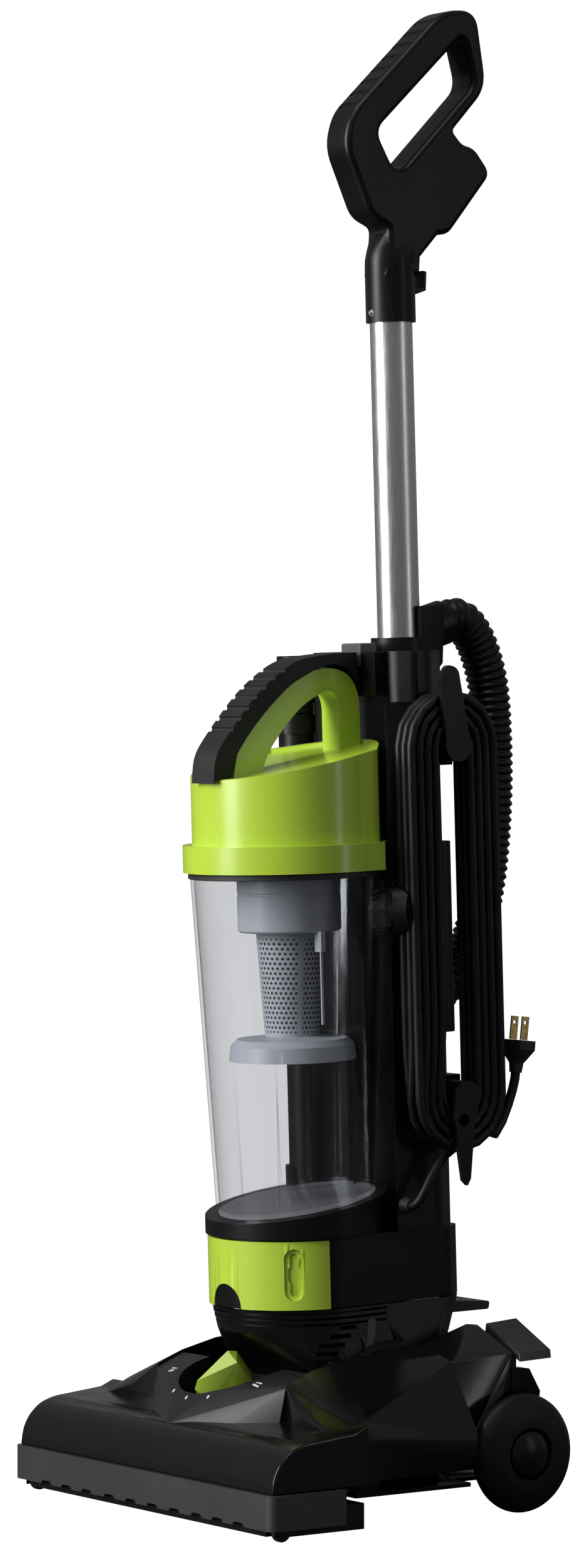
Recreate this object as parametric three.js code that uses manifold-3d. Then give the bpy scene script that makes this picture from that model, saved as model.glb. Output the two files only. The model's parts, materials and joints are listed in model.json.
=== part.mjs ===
// An upright bagless vacuum cleaner: a wide cleaning foot on wheels, a tower that leans back on the
// motor axis, a clear dust cup with a cyclone under a lidded carrying handle, and a tube with a loop grip.
// Millimetres, +Z up, the cleaning edge faces -Y, the rollers and wheels stand on z = 0.
import * as THREE from 'three';
import * as BufferGeometryUtils from 'three/addons/utils/BufferGeometryUtils.js';
import { ConvexGeometry } from 'three/addons/geometries/ConvexGeometry.js';
import Module from 'manifold-3d';

// Driving dimensions. Y is measured from the cup's axis until the last group moves the whole object.
const FRAME_SHIFT_Y = -9.1;     // puts the middle of the object's length over the origin
const GAP = 0.3;               // clearance between neighbouring pieces

const FOOT_HALF = 163;         // half width of the hood over the brush
const NOZZLE_FRONT = -141;     // front edge of the hood
const NOZZLE_BACK = -60;       // rear edge of the sole plate
const SOLE_Z = 4;              // underside of the sole plate
const BUMPER_Z = 33.5;         // joint between the bumper and the hood
const BRUSH_Y = -104;          // brush roll axis
const BRUSH_Z = 24;
const WHEEL_R = 43;            // rear wheels
const WHEEL_Y = 93;
const WHEEL_X = 132;           // inner face of a rear wheel
const WHEEL_W = 23;
const ROLLER_R = 7;            // small rollers under the front corners
const CHEEK_X = 82;            // inner face of the cheeks that hold the tower

const PIVOT_Y = 30;            // motor axis, about which the tower leans back
const PIVOT_Z = 75;
const LEAN = THREE.MathUtils.degToRad(1.8);    // forward lean of the parked tower
const DRUM_R = 47;             // motor housing
const DRUM_HALF = 79;

const SPINE_HALF = 65;         // tower behind the cup
const SPINE_FRONT = 44;
const CRADLE_R = 78;           // hollow that the cup sits in
const HEAD_Z = 622;            // top of the tower
const CUP_TOP = 459;
const CUP_TOP_R = 72;
const CUP_BOTTOM_R = 58.5;
const SEAT_Z = 221;            // height of the slanted seat under the cup, on the cup's axis
const SEAT_SLOPE = 0.152;
const LID_R = 70;
const LID_RIM_R = 77;
const LID_Z = 464;
const LID_TOP_Z = 545;         // height of the slanted lid top, on the cup's axis
const LID_SLOPE = 0.186;
const PORT_ANGLE = THREE.MathUtils.degToRad(35);
const PORT_Z = 434;
const WAND = [-67, 62];        // stored extension wand
const WAND_R = 16.5;

const TUBE_Y = 106.5;          // handle tube
const TUBE_R = 15.9;
const TUBE_TOP = 866;
const LOOP_HALF = 15;          // half thickness of the loop grip

const HANK_Y = 86;             // cord wound over its two hooks, beside the tower
const HANK_LOW = 297;
const HANK_HIGH = 552;
const HANK_X = [71, 93.4];
const HANK_R = [12, 41.5];
const CORD_R = 3.5;
const HOSE_R = 17;

const FINE = 32;               // facets round large, medium, small and tiny circles
const ROUND = 22;
const SMALL = 14;
const TINY = 10;

const wasm = await Module();
wasm.setup();

// ---------------------------------------------------------------- shapes and solids

// A closed geometry as a solid, with its faces pointing out.
function solid(geometry) {
  const bare = new THREE.BufferGeometry();
  bare.setAttribute('position', geometry.attributes.position);
  bare.setIndex(geometry.index);
  const merged = BufferGeometryUtils.mergeVertices(bare, 1e-3);
  const position = merged.attributes.position.array;
  const index = merged.index.array;
  const triangles = [];
  let volume = 0;
  const [a, b, c] = [0, 1, 2].map(() => new THREE.Vector3());
  for (let i = 0; i < index.length; i += 3) {
    const corners = [index[i], index[i + 1], index[i + 2]];
    if (new Set(corners).size < 3) continue;
    triangles.push(corners);
    [a, b, c].forEach((point, k) => point.fromArray(position, 3 * corners[k]));
    volume += a.dot(b.cross(c));
  }
  const ordered = volume < 0 ? triangles.map(([i, j, k]) => [i, k, j]) : triangles;
  return new wasm.Manifold(new wasm.Mesh({
    numProp: 3,
    vertProperties: new Float32Array(position),
    triVerts: new Uint32Array(ordered.flat()),
  }));
}

const join = (first, ...others) => others.reduce((whole, other) => whole.add(other), first);
const cut = (first, ...others) => others.reduce((whole, other) => whole.subtract(other), first);
const common = (first, second) => first.intersect(second);

// An outline through corners [a, b, setback]; a corner with a setback is rounded off.
function outline(corners) {
  const shape = new THREE.Shape();
  const count = corners.length;
  corners.forEach(([a, b, setback = 0], i) => {
    const here = new THREE.Vector2(a, b);
    const toward = other => new THREE.Vector2(other[0], other[1]).sub(here).setLength(setback).add(here);
    const start = setback ? toward(corners[(i + count - 1) % count]) : here;
    if (i === 0) shape.moveTo(start.x, start.y);
    else shape.lineTo(start.x, start.y);
    if (!setback) return;
    const end = toward(corners[(i + 1) % count]);
    shape.quadraticCurveTo(a, b, end.x, end.y);
  });
  shape.closePath();
  return shape;
}

const axisX = new THREE.Vector3(1, 0, 0);
const axisY = new THREE.Vector3(0, 1, 0);
const axisZ = new THREE.Vector3(0, 0, 1);

function prism(shape, depth, across, up, along, start, segments) {
  const geometry = new THREE.ExtrudeGeometry(shape, {
    depth, bevelEnabled: false, curveSegments: segments,
  });
  geometry.applyMatrix4(new THREE.Matrix4().makeBasis(across, up, along));
  geometry.translate(start.x, start.y, start.z);
  return solid(geometry);
}

// A (y, z) outline from x0 to x1, an (x, y) outline from z0 to z1, an (x, z) outline from y0 to y1.
const alongX = (shape, x0, x1, segments = 5) =>
  prism(shape, x1 - x0, axisY, axisZ, axisX, new THREE.Vector3(x0, 0, 0), segments);
const alongZ = (shape, z0, z1, segments = 5) =>
  prism(shape, z1 - z0, axisX, axisY, axisZ, new THREE.Vector3(0, 0, z0), segments);
const alongY = (shape, y0, y1, segments = 5) =>
  prism(shape, y1 - y0, axisX, axisZ, axisY.clone().negate(), new THREE.Vector3(0, y1, 0), segments);

function box(x0, x1, y0, y1, z0, z1) {
  const geometry = new THREE.BoxGeometry(x1 - x0, y1 - y0, z1 - z0);
  geometry.translate((x0 + x1) / 2, (y0 + y1) / 2, (z0 + z1) / 2);
  return solid(geometry);
}

// A round bar between two points.
function rod(radius, from, to, segments = SMALL, toRadius = radius) {
  const start = new THREE.Vector3(...from);
  const end = new THREE.Vector3(...to);
  const span = end.clone().sub(start);
  const geometry = new THREE.CylinderGeometry(toRadius, radius, span.length(), segments);
  geometry.translate(0, span.length() / 2, 0);
  geometry.applyQuaternion(new THREE.Quaternion().setFromUnitVectors(axisY, span.normalize()));
  geometry.translate(start.x, start.y, start.z);
  return solid(geometry);
}

// A profile of [radius, height] points turned about a vertical or a sideways axis.
function turned(profile, axis, centre, segments = ROUND) {
  const closed = profile[0][0] === 0 ? profile : [...profile, profile[0]];
  const geometry = new THREE.LatheGeometry(closed.map(([r, h]) => new THREE.Vector2(r, h)), segments);
  if (axis === axisZ) geometry.rotateX(Math.PI / 2);
  else geometry.rotateZ(-Math.PI / 2);
  geometry.translate(...centre);
  return solid(geometry);
}

const hull = points => solid(new ConvexGeometry(points.map(point => new THREE.Vector3(...point))));

function ring(radius, z, centre = [0, 0], count = 16) {
  return Array.from({ length: count }, (_, i) => {
    const angle = 2 * Math.PI * i / count;
    return [centre[0] + radius * Math.cos(angle), centre[1] + radius * Math.sin(angle), z];
  });
}

// A round section of the given radius swept along a smooth curve through the points.
function swept(points, radius, steps, sides) {
  const section = new THREE.Shape(Array.from({ length: sides }, (_, i) => {
    const angle = 2 * Math.PI * i / sides;
    return new THREE.Vector2(radius * Math.cos(angle), radius * Math.sin(angle));
  }));
  const path = new THREE.CatmullRomCurve3(points.map(point => new THREE.Vector3(...point)));
  return solid(new THREE.ExtrudeGeometry(section, { steps, bevelEnabled: false, extrudePath: path }));
}

// Everything below the plane z = height + slope * y.
function below(height, slope) {
  const reach = 400;
  return alongX(outline([
    [-reach, -reach], [reach, -reach], [reach, height + slope * reach], [-reach, height - slope * reach],
  ]), -reach, reach);
}

const mirrored = points => points.map(([x, ...rest]) => [-x, ...rest]);
const sides = [['left', -1], ['right', 1]];

// ---------------------------------------------------------------- materials and placing

const finish = (color, roughness, metalness = 0, opacity = 1) => () =>
  new THREE.MeshStandardMaterial({ color, roughness, metalness, opacity, transparent: opacity < 1 });
const glossBlack = finish(0x0c0c0d, 0.18);
const satinBlack = finish(0x19191b, 0.45);
const darkGrey = finish(0x3c3d3f, 0.5);
const lime = finish(0xa9cc38, 0.3);
const clear = finish(0xd5dadd, 0.08, 0, 0.35);
const paleGrey = finish(0xa3aab3, 0.4);
const rubber = finish(0x141414, 0.85);
const aluminium = finish(0xb9bbbd, 0.3, 1);
const steel = finish(0x8c8e90, 0.35, 1);
const brass = finish(0xc9b06a, 0.3, 1);
const foam = finish(0x2b2d30, 1);

function piece(parent, name, material, body) {
  const { vertProperties, triVerts } = body.getMesh();
  const geometry = new THREE.BufferGeometry();
  geometry.setAttribute('position', new THREE.BufferAttribute(vertProperties, 3));
  geometry.setIndex(new THREE.BufferAttribute(triVerts, 1));
  geometry.computeVertexNormals();
  const mesh = new THREE.Mesh(geometry, material());
  mesh.name = name;
  parent.add(mesh);
}

const vacuum = new THREE.Group();
vacuum.position.y = FRAME_SHIFT_Y;
const foot = new THREE.Group();
vacuum.add(foot);
const leaning = new THREE.Group();
leaning.position.set(0, PIVOT_Y, PIVOT_Z);
leaning.rotation.x = LEAN;
vacuum.add(leaning);
const tower = new THREE.Group();
tower.position.set(0, -PIVOT_Y, -PIVOT_Z);
leaning.add(tower);

// ---------------------------------------------------------------- foot

// The hood: a rounded nozzle cover, and a shoulder on each side that rises to the tower's cheeks.
function hoodShoulder(side) {
  const front = [
    [CHEEK_X, -72, BUMPER_Z + 1], [152, -72, BUMPER_Z + 1], [151, 48, 36], [CHEEK_X, 48, 36],
    [CHEEK_X, -72, 97], [CHEEK_X, -50, 106], [CHEEK_X, -20, 113], [CHEEK_X, 20, 115], [96, 16, 112],
    [106, -79, 80], [153, -79, 66], [151, -51, 79], [126, 26, 101], [CHEEK_X, 48, 118], [118, 48, 110],
    [150, 48, 62],
  ];
  const rear = [
    [CHEEK_X, 47, 36], [127, 47, 36], [127, 98, 36], [CHEEK_X, 98, 36], [CHEEK_X, 47, 118],
    [119, 47, 109], [84, 88, 131], [96, 92, 129], [126, 98, 113], [84, 98, 130],
  ];
  const tail = [
    [CHEEK_X, 97, 36], [127, 97, 36], [127, 116, 44], [CHEEK_X, 116, 44], [CHEEK_X, 97, 103],
    [127, 97, 103], [CHEEK_X, 113, 101], [127, 113, 101], [127, 123, 84], [CHEEK_X, 123, 84],
  ];
  const flip = side < 0 ? mirrored : points => points;
  return join(hull(flip(front)), hull(flip(rear)), hull(flip(tail)));
}

// The same volume drawn in by the wall thickness, and open below.
function shoulderHollow(side) {
  const flip = side < 0 ? mirrored : points => points;
  const front = [
    [85, -76, 20], [149, -76, 20], [148, 46, 20], [85, 46, 20],
    [85, -68, 93], [85, -48, 102], [85, 18, 110], [95, 13, 108],
    [105, -74, 77], [148, -76, 64], [147, -51, 75], [124, 24, 97], [85, 50, 114], [116, 46, 106],
    [146, 46, 60],
  ];
  const rear = [
    [85, 40, 20], [124, 40, 20], [124, 95, 20], [85, 95, 20], [85, 40, 110],
    [115, 40, 105], [87, 86, 126], [96, 89, 124], [122, 95, 109], [87, 95, 126],
  ];
  const tail = [
    [85, 90, 20], [124, 90, 20], [124, 113, 20], [85, 113, 20], [85, 90, 99],
    [124, 90, 99], [85, 111, 97], [124, 111, 97], [124, 119.5, 82], [85, 119.5, 82],
  ];
  return join(hull(flip(front)), hull(flip(rear)), hull(flip(tail)));
}

function nozzleProfile(wall) {
  const shape = new THREE.Shape();
  shape.moveTo(NOZZLE_FRONT + wall, BUMPER_Z + GAP - (wall ? 20 : 0));
  shape.lineTo(NOZZLE_FRONT + wall + 1, 41);
  shape.splineThru([
    [-138 + wall, 48 - wall / 2], [-133 + wall * 0.8, 56 - wall * 0.6], [-124 + wall / 2, 63.5 - wall * 0.8],
    [-112, 67.6 - wall], [-100, 69 - wall],
  ].map(([y, z]) => new THREE.Vector2(y, z)));
  shape.lineTo(-70, 72 - wall);
  shape.lineTo(-58 - wall, 77 - wall);
  shape.lineTo(-58 - wall, BUMPER_Z + GAP - (wall ? 20 : 0));
  shape.closePath();
  return shape;
}

const bezelOuter = [
  [0, -122, 60], [46, -104, 62], [CHEEK_X, -79, 64], [CHEEK_X, -50, 64], [0, -50, 60],
  [0, -121, 64], [0, -99, 86], [28, -94, 89], [52, -78, 96], [72, -62, 101], [CHEEK_X, -50, 104],
  [CHEEK_X, -72, 95], [0, -50, 86],
];
const bezelHull = hull([...bezelOuter, ...mirrored(bezelOuter)]);
const knobWell = alongZ(new THREE.Shape().absellipse(0, -55, 47, 44, 0, 2 * Math.PI), 71, 130, 12);
const towerSpace = rod(DRUM_R + 4, [-CHEEK_X, PIVOT_Y, PIVOT_Z], [CHEEK_X, PIVOT_Y, PIVOT_Z], ROUND);

let hood = alongX(nozzleProfile(0), -FOOT_HALF, FOOT_HALF, 3);
hood = join(hood, hoodShoulder(-1), hoodShoulder(1));
hood = cut(hood, alongX(nozzleProfile(3), 3 - FOOT_HALF, FOOT_HALF - 3, 3), shoulderHollow(-1), shoulderHollow(1));
for (const [, side] of sides) {
  // The notch that drops over the tower's trunnion, and the hole for the wheel's axle.
  const low = Math.min(side * 75, side * 90);
  hood = cut(
    hood,
    box(low, low + 15, PIVOT_Y - 17, PIVOT_Y + 17, 20, PIVOT_Z),
    rod(17, [side * 75, PIVOT_Y, PIVOT_Z], [side * 90, PIVOT_Y, PIVOT_Z]),
    rod(6, [side * 118, WHEEL_Y, WHEEL_R], [side * 130, WHEEL_Y, WHEEL_R], TINY),
  );
}
hood = cut(hood, bezelHull, towerSpace);
// The slot that the release pedal's arm passes through.
hood = cut(hood, box(99, 115, 100, 118, 80, 140));
piece(foot, 'foot_hood', glossBlack, hood);

// The bezel fills the middle of the hood and holds the well of the height knob.
const bezelShell = cut(
  common(bezelHull, box(-CHEEK_X + GAP, CHEEK_X - GAP, -130, -50, 0, 200)),
  knobWell,
  towerSpace,
  box(-CHEEK_X - 3, CHEEK_X + 3, -130, -40, 20, 65.5),
);
piece(foot, 'knob_bezel', darkGrey, bezelShell);

// The height knob: a round base with a pointer-shaped grip across it.
const knobFin = [
  [0, -95, 88], [0, -93, 94], [10, -66, 80], [9, -64, 106], [0, -66, 114], [0, -58, 113],
  [6, -48, 90], [0, -45, 97], [7, -86, 80], [7, -50, 80],
];
piece(foot, 'height_knob', lime, join(
  rod(22, [0, -66, 71 + GAP], [0, -66, 81], SMALL),
  hull([...knobFin, ...mirrored(knobFin)]),
));

// The bumper wraps the front and both ends of the nozzle.
const bumperOut = FOOT_HALF + 4;
const bumperIn = FOOT_HALF - 0.5;
piece(foot, 'front_bumper', darkGrey, cut(
  alongZ(outline([
    [-bumperOut, -79, 3], [-bumperOut, -144.5, 9], [bumperOut, -144.5, 9], [bumperOut, -79, 3],
    [bumperIn, -79], [bumperIn, -139.5, 5], [-bumperIn, -139.5, 5], [-bumperIn, -79],
  ]), 9, BUMPER_Z - GAP / 2, 4),
  ...[-95, -38, 18, 74, 122].map(x => box(x - 7, x + 7, -150, -130, 0, 11)),
));

// The sole plate: a shallow tray with the brush window, and pockets for rollers and carriage wheels.
const rollerX = 156;
const rollerY = -129;
const carriageX = 50;
const carriageY = -71;
let sole = cut(
  alongZ(outline([
    [-161.8, NOZZLE_BACK, 3], [-161.8, -138.8, 6], [161.8, -138.8, 6], [161.8, NOZZLE_BACK, 3],
  ]), SOLE_Z, 22),
  box(-159, 159, -136, NOZZLE_BACK - 3, SOLE_Z + 3, 30),
  box(-129, 129, -125, -84, 0, 30),
  box(-carriageX, carriageX, carriageY - 2.8, carriageY + 2.8, 0, 12),
);
sole = join(sole, ...sides.map(([, side]) => box(side * rollerX - 5.7, side * rollerX + 5.7, -134, -119, SOLE_Z, 18)));
for (const [, side] of sides) {
  sole = cut(
    sole,
    box(side * rollerX - 4, side * rollerX + 4, -142, -121, 0, 16.5),
    box(side * carriageX - 9, side * carriageX + 9, carriageY - 7.5, carriageY + 7.5, 0, 12),
  );
}
piece(foot, 'sole_plate', satinBlack, sole);

for (const [word, side] of sides) {
  piece(foot, `front_roller_${word}`, rubber, turned(
    [[0, -3.6], [1.6, -3.6], [1.6, -3.2], [6, -3.2], [ROLLER_R, -2], [ROLLER_R, 2], [6, 3.2], [1.6, 3.2],
      [1.6, 3.6], [0, 3.6]],
    axisX, [side * rollerX, rollerY, ROLLER_R], TINY,
  ));
}

// The carriage under the nozzle, which the knob presses down to raise the brush from the carpet.
const rollerAxis = 9.4;
piece(foot, 'height_carriage', satinBlack, cut(join(
  box(-62, 62, carriageY - 5, carriageY + 5, 17, 21),
  ...sides.flatMap(([, side]) => [
    box(side * carriageX - 8, side * carriageX - 5.5, carriageY - 3, carriageY + 3, 6, 18),
    box(side * carriageX + 5.5, side * carriageX + 8, carriageY - 3, carriageY + 3, 6, 18),
  ]),
  rod(5, [0, carriageY, 20], [0, carriageY, 60], TINY),
), rod(2.4, [-70, carriageY, rollerAxis], [70, carriageY, rollerAxis], TINY)));
piece(foot, 'carriage_roller', rubber, join(
  rod(2, [-carriageX - 9, carriageY, rollerAxis], [carriageX + 9, carriageY, rollerAxis], TINY),
  ...sides.map(([, side]) => rod(
    6, [side * carriageX - 5, carriageY, rollerAxis], [side * carriageX + 5, carriageY, rollerAxis],
  )),
));

// The brush roll, with two rows of tufts wound round it and a groove for the belt at its left end.
function tuftRow(phase) {
  const turns = 1.25;
  const points = Array.from({ length: 26 }, (_, i) => {
    const angle = phase + 2 * Math.PI * turns * i / 25;
    return [-96 + 210 * i / 25, BRUSH_Y + 18 * Math.cos(angle), BRUSH_Z + 18 * Math.sin(angle)];
  });
  return swept(points, 4, 16, 4);
}
piece(foot, 'brush_roll', satinBlack, join(
  turned([[0, -124], [5, -124], [5, -120], [15.5, -120], [15.5, -114], [12, -114], [12, -101],
    [15.5, -101], [15.5, 120], [5, 120], [5, 124], [0, 124]], axisX, [0, BRUSH_Y, BRUSH_Z], SMALL),
  tuftRow(0), tuftRow(Math.PI),
));
for (const [word, side] of sides) {
  const [near, far] = [side * 121, side * 133].sort((p, q) => p - q);
  piece(foot, `brush_bearing_${word}`, darkGrey, cut(
    box(near, far, BRUSH_Y - 15, BRUSH_Y + 15, SOLE_Z + 3 + GAP, 42),
    box(Math.min(side * 120, side * 129.4), Math.max(side * 120, side * 129.4), -125, -84, 0, 7.6),
    rod(5.4, [side * 120, BRUSH_Y, BRUSH_Z], [side * 126, BRUSH_Y, BRUSH_Z], TINY),
  ));
}

// The flat belt from the motor pulley to the groove of the brush roll.
function beltLoop(extra, x0, x1) {
  const circle = (radius, y, z, x) => Array.from({ length: 20 }, (_, i) => {
    const angle = 2 * Math.PI * i / 20;
    return [x, y + radius * Math.cos(angle), z + radius * Math.sin(angle)];
  });
  return hull([x0, x1].flatMap(x => [
    ...circle(9 + extra, PIVOT_Y, PIVOT_Z, x), ...circle(12 + extra, BRUSH_Y, BRUSH_Z, x),
  ]));
}
piece(foot, 'drive_belt', rubber, cut(beltLoop(2.5, -112, -103), beltLoop(0.5, -113, -102)));

// The floor pan, with bearing blocks for the tower's trunnions and for the wheel axles.
let pan = alongZ(outline([
  [-146, -57], [146, -57], [146, 45], [122, 45], [122, 110], [80, 110], [80, 78],
  [-80, 78], [-80, 110], [-122, 110], [-122, 45], [-146, 45],
]), 23, 26);
for (const [, side] of sides) {
  const near = Math.min(side * 86, side * 99);
  const block = Math.min(side * 106, side * 121);
  pan = join(
    pan,
    box(near, near + 13, PIVOT_Y - 22, PIVOT_Y + 22, 23, PIVOT_Z),
    box(block, block + 15, WHEEL_Y - 11, WHEEL_Y + 11, 23, WHEEL_R + 10),
  );
  pan = cut(
    pan,
    rod(15.4, [side * 80, PIVOT_Y, PIVOT_Z], [side * 101, PIVOT_Y, PIVOT_Z], SMALL),
    rod(5.4, [side * 104, WHEEL_Y, WHEEL_R], [side * 124, WHEEL_Y, WHEEL_R], TINY),
  );
}
piece(foot, 'foot_pan', satinBlack, pan);

// Rear wheels with rounded treads, each on an axle whose head is the domed hub cap.
for (const [word, side] of sides) {
  piece(foot, `rear_wheel_${word}`, rubber, turned(
    [[5.3, 0], [28, 0], [37, 2.8], [42, 8], [WHEEL_R, 11.5], [42, 15], [37, 20.2], [28, WHEEL_W],
      [19, WHEEL_W], [18, 19], [5.3, 19]].map(([r, h]) => [r, side * (WHEEL_X + h)]),
    axisX, [0, WHEEL_Y, WHEEL_R], ROUND,
  ));
  piece(foot, `wheel_axle_${word}`, darkGrey, turned(
    [[0, 106], [5, 106], [5, 151.3], [17, 151.3], [17, 154], [12, 157], [5, 158.6], [0, 159]]
      .map(([r, h]) => [r, side * h]),
    axisX, [0, WHEEL_Y, WHEEL_R], SMALL,
  ));
}

// The pedal that frees the tower, its pin and its spring.
const pedalPin = [106, 80];
piece(foot, 'release_pedal', darkGrey, cut(
  join(
    hull([
      [88, 102, 124], [88, 131, 126], [131, 101, 107], [131, 130, 108],
      [88, 103, 131], [88, 131, 133], [130, 102, 113], [130, 130, 114], [96, 134, 121], [124, 133, 109],
    ]),
    box(101, 113, 102, 112, 74, 118),
  ),
  rod(2.8, [96, pedalPin[0], pedalPin[1]], [118, pedalPin[0], pedalPin[1]], TINY),
));
piece(foot, 'pedal_pin', steel, rod(2.5, [97, ...pedalPin], [117, ...pedalPin], TINY));
const springTurns = 5;
piece(foot, 'pedal_spring', steel, swept(
  Array.from({ length: springTurns * 8 + 1 }, (_, i) => {
    const angle = Math.PI * i / 4;
    return [107 + 5 * Math.cos(angle), 107 + 5 * Math.sin(angle), 54 + 18 * i / (springTurns * 8)];
  }), 0.8, springTurns * 8, 4,
));

// ---------------------------------------------------------------- motor and its housing

// The housing: a drum across the foot on two trunnions, and a neck that widens up to the tower base.
const neckTop = 147.5;
const drumEnds = [-DRUM_HALF, DRUM_HALF];
const neck = inset => hull([
  ...ring(64 - inset, neckTop + (inset ? 5 : 0), [0, 0], SMALL),
  [-50 + inset, 108 - inset, neckTop + (inset ? 5 : 0)], [50 - inset, 108 - inset, neckTop + (inset ? 5 : 0)],
  [-64 + inset, 88 - inset, neckTop + (inset ? 5 : 0)], [64 - inset, 88 - inset, neckTop + (inset ? 5 : 0)],
  ...ring(62 - inset, 130, [0, 2], SMALL),
  [-70 + inset, -10 + inset, 88], [70 - inset, -10 + inset, 88],
  [-72 + inset, 70 - inset, 88], [72 - inset, 70 - inset, 88],
]);
let housing = join(
  rod(DRUM_R, [-DRUM_HALF, PIVOT_Y, PIVOT_Z], [DRUM_HALF, PIVOT_Y, PIVOT_Z], ROUND),
  neck(0),
  ...drumEnds.map(x => rod(15, [x, PIVOT_Y, PIVOT_Z], [x * 100 / DRUM_HALF, PIVOT_Y, PIVOT_Z], SMALL)),
);
housing = cut(
  housing,
  rod(DRUM_R - 3, [3 - DRUM_HALF, PIVOT_Y, PIVOT_Z], [DRUM_HALF - 3, PIVOT_Y, PIVOT_Z], ROUND),
  neck(3),
  rod(6, [-110, PIVOT_Y, PIVOT_Z], [110, PIVOT_Y, PIVOT_Z], TINY),
);
// Exhaust vents: a fan of slots in each flank, under a curved spine.
const ventSlots = Array.from({ length: 6 }, (_, i) => [4 - 5.5 * i, 134 - 6 * i, 14 + 2.4 * i]);
for (const [, side] of sides) {
  const slots = ventSlots.map(([y, z, length]) =>
    box(Math.min(side * 56, side * 80), Math.max(side * 56, side * 80), y - length, y, z - 1.5, z + 1.5));
  housing = cut(housing, ...slots);
}
// The slot that the power pedal comes out of.
housing = cut(housing, box(-26, 38, 88, 125, 126, 144));
piece(tower, 'motor_housing', satinBlack, housing);

piece(tower, 'motor_stator', steel, cut(
  rod(40, [-44, PIVOT_Y, PIVOT_Z], [36, PIVOT_Y, PIVOT_Z], ROUND),
  rod(17, [-45, PIVOT_Y, PIVOT_Z], [37, PIVOT_Y, PIVOT_Z], SMALL),
));
piece(tower, 'motor_rotor', steel, turned(
  [[0, -115], [4, -115], [4, -113], [8.6, -113], [8.6, -102], [4, -102], [4, -40], [16, -40], [16, 32],
    [4, 32], [4, 42], [38, 42], [38, 45], [12, 60], [0, 60]],
  axisX, [0, PIVOT_Y, PIVOT_Z], SMALL,
));

// ---------------------------------------------------------------- tower base, filter and seat

// The plan of the tower base: round in front, squared behind.
function basePlan(radius, inset) {
  const shape = new THREE.Shape();
  shape.absarc(0, 0, radius, Math.PI, 2 * Math.PI);
  shape.lineTo(radius, 88 - inset);
  shape.quadraticCurveTo(radius - 2, 98 - inset, 50 - inset, 108 - inset);
  shape.lineTo(inset - 50, 108 - inset);
  shape.quadraticCurveTo(2 - radius, 98 - inset, -radius, 88 - inset);
  shape.closePath();
  return shape;
}
const baseTop = 199;
let base = cut(
  alongZ(basePlan(61.5, 0), neckTop + GAP, baseTop, 10),
  alongZ(basePlan(58.5, 3), neckTop + 3, baseTop + 1, 10),
  rod(30, [0, 30, neckTop - 2], [0, 30, neckTop + 6], SMALL),
);
piece(tower, 'tower_base', satinBlack, base);

// The filter door: a curved cover over the front of the base, with a finger scoop at its foot.
const doorEdge = -17;
let door = cut(
  alongZ(new THREE.Shape().absarc(0, 0, 66, 0, 2 * Math.PI), neckTop + 1, 198, 20),
  alongZ(new THREE.Shape().absarc(0, 0, 61.5 + GAP, 0, 2 * Math.PI), 100, 250, 20),
  box(-100, 100, doorEdge, 100, 100, 250),
  rod(17, [0, -80, 147], [0, -40, 152], SMALL),
);
piece(tower, 'filter_door', lime, door);
piece(tower, 'filter_tray', darkGrey, cut(
  rod(52, [0, 0, 153], [0, 0, 186], ROUND),
  rod(49, [0, 0, 156], [0, 0, 190], ROUND),
  rod(14, [0, 0, 150], [0, 0, 160], TINY),
));
piece(tower, 'foam_filter', foam, rod(48.5, [0, 0, 157], [0, 0, 184], SMALL));

// The seat under the cup: a thick collar whose top slants down to the front.
const seatPlan = new THREE.Shape().absarc(0, 0, 67.5, 0, 2 * Math.PI);
piece(tower, 'cup_seat', rubber, cut(
  common(alongZ(seatPlan, baseTop + GAP, 260, 18), below(SEAT_Z, SEAT_SLOPE)),
  rod(44, [0, 0, baseTop - 5], [0, 0, baseTop + 4], SMALL),
  rod(9, [12, 54, 190], [12, 54, 250], TINY),
));

// ---------------------------------------------------------------- spine, head and ducts

// The plan of the spine: flat flanks, corners drawn in toward a flat back.
function spinePlan(inset) {
  const half = SPINE_HALF - inset;
  return outline([
    [-half, SPINE_FRONT + inset], [half, SPINE_FRONT + inset], [half, 84 - inset, 6],
    [44 - inset, 110 - inset, 10], [inset - 44, 110 - inset, 10], [-half, 84 - inset, 6],
  ]);
}
const spineBottom = baseTop + GAP;
const cradle = rod(CRADLE_R, [0, 0, 150], [0, 0, 700], FINE);
const wandNest = rod(WAND_R + 2, [...WAND, 150], [...WAND, 700], SMALL);
const splitY = 79;
const ductMouth = rod(22, [0, 0, PORT_Z], [
  120 * Math.cos(PORT_ANGLE), 120 * Math.sin(PORT_ANGLE), PORT_Z], SMALL);
const spineBulk = cut(alongZ(spinePlan(0), spineBottom, 584.7, 4), cradle, wandNest);
const spineHollow = cut(
  alongZ(spinePlan(3), spineBottom + 3, 600, 4),
  rod(CRADLE_R + 3, [0, 0, 150], [0, 0, 700], FINE),
  rod(WAND_R + 5, [...WAND, 150], [...WAND, 700], SMALL),
);
const behind = box(-200, 200, splitY, 200, 0, 800);
const ahead = box(-200, 200, -200, splitY - GAP, 0, 800);
// A cup under the stored wand and a clip round its top are moulded on the front half.
const wandHolder = cut(
  rod(WAND_R + 3, [...WAND, spineBottom], [...WAND, 238], SMALL),
  rod(WAND_R + GAP, [...WAND, 222.7], [...WAND, 240], ROUND),
);
const wandClip = cut(
  rod(WAND_R + 3, [...WAND, 562], [...WAND, 576], SMALL),
  rod(WAND_R + GAP, [...WAND, 560], [...WAND, 580], ROUND),
  box(WAND[0] - 30, WAND[0] + 5, WAND[1] - 30, WAND[1] + 30, 560, 580),
);
piece(tower, 'spine_front', satinBlack, cut(
  common(join(cut(spineBulk, spineHollow), cut(wandHolder, cradle), wandClip), ahead),
  ductMouth,
));

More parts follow.
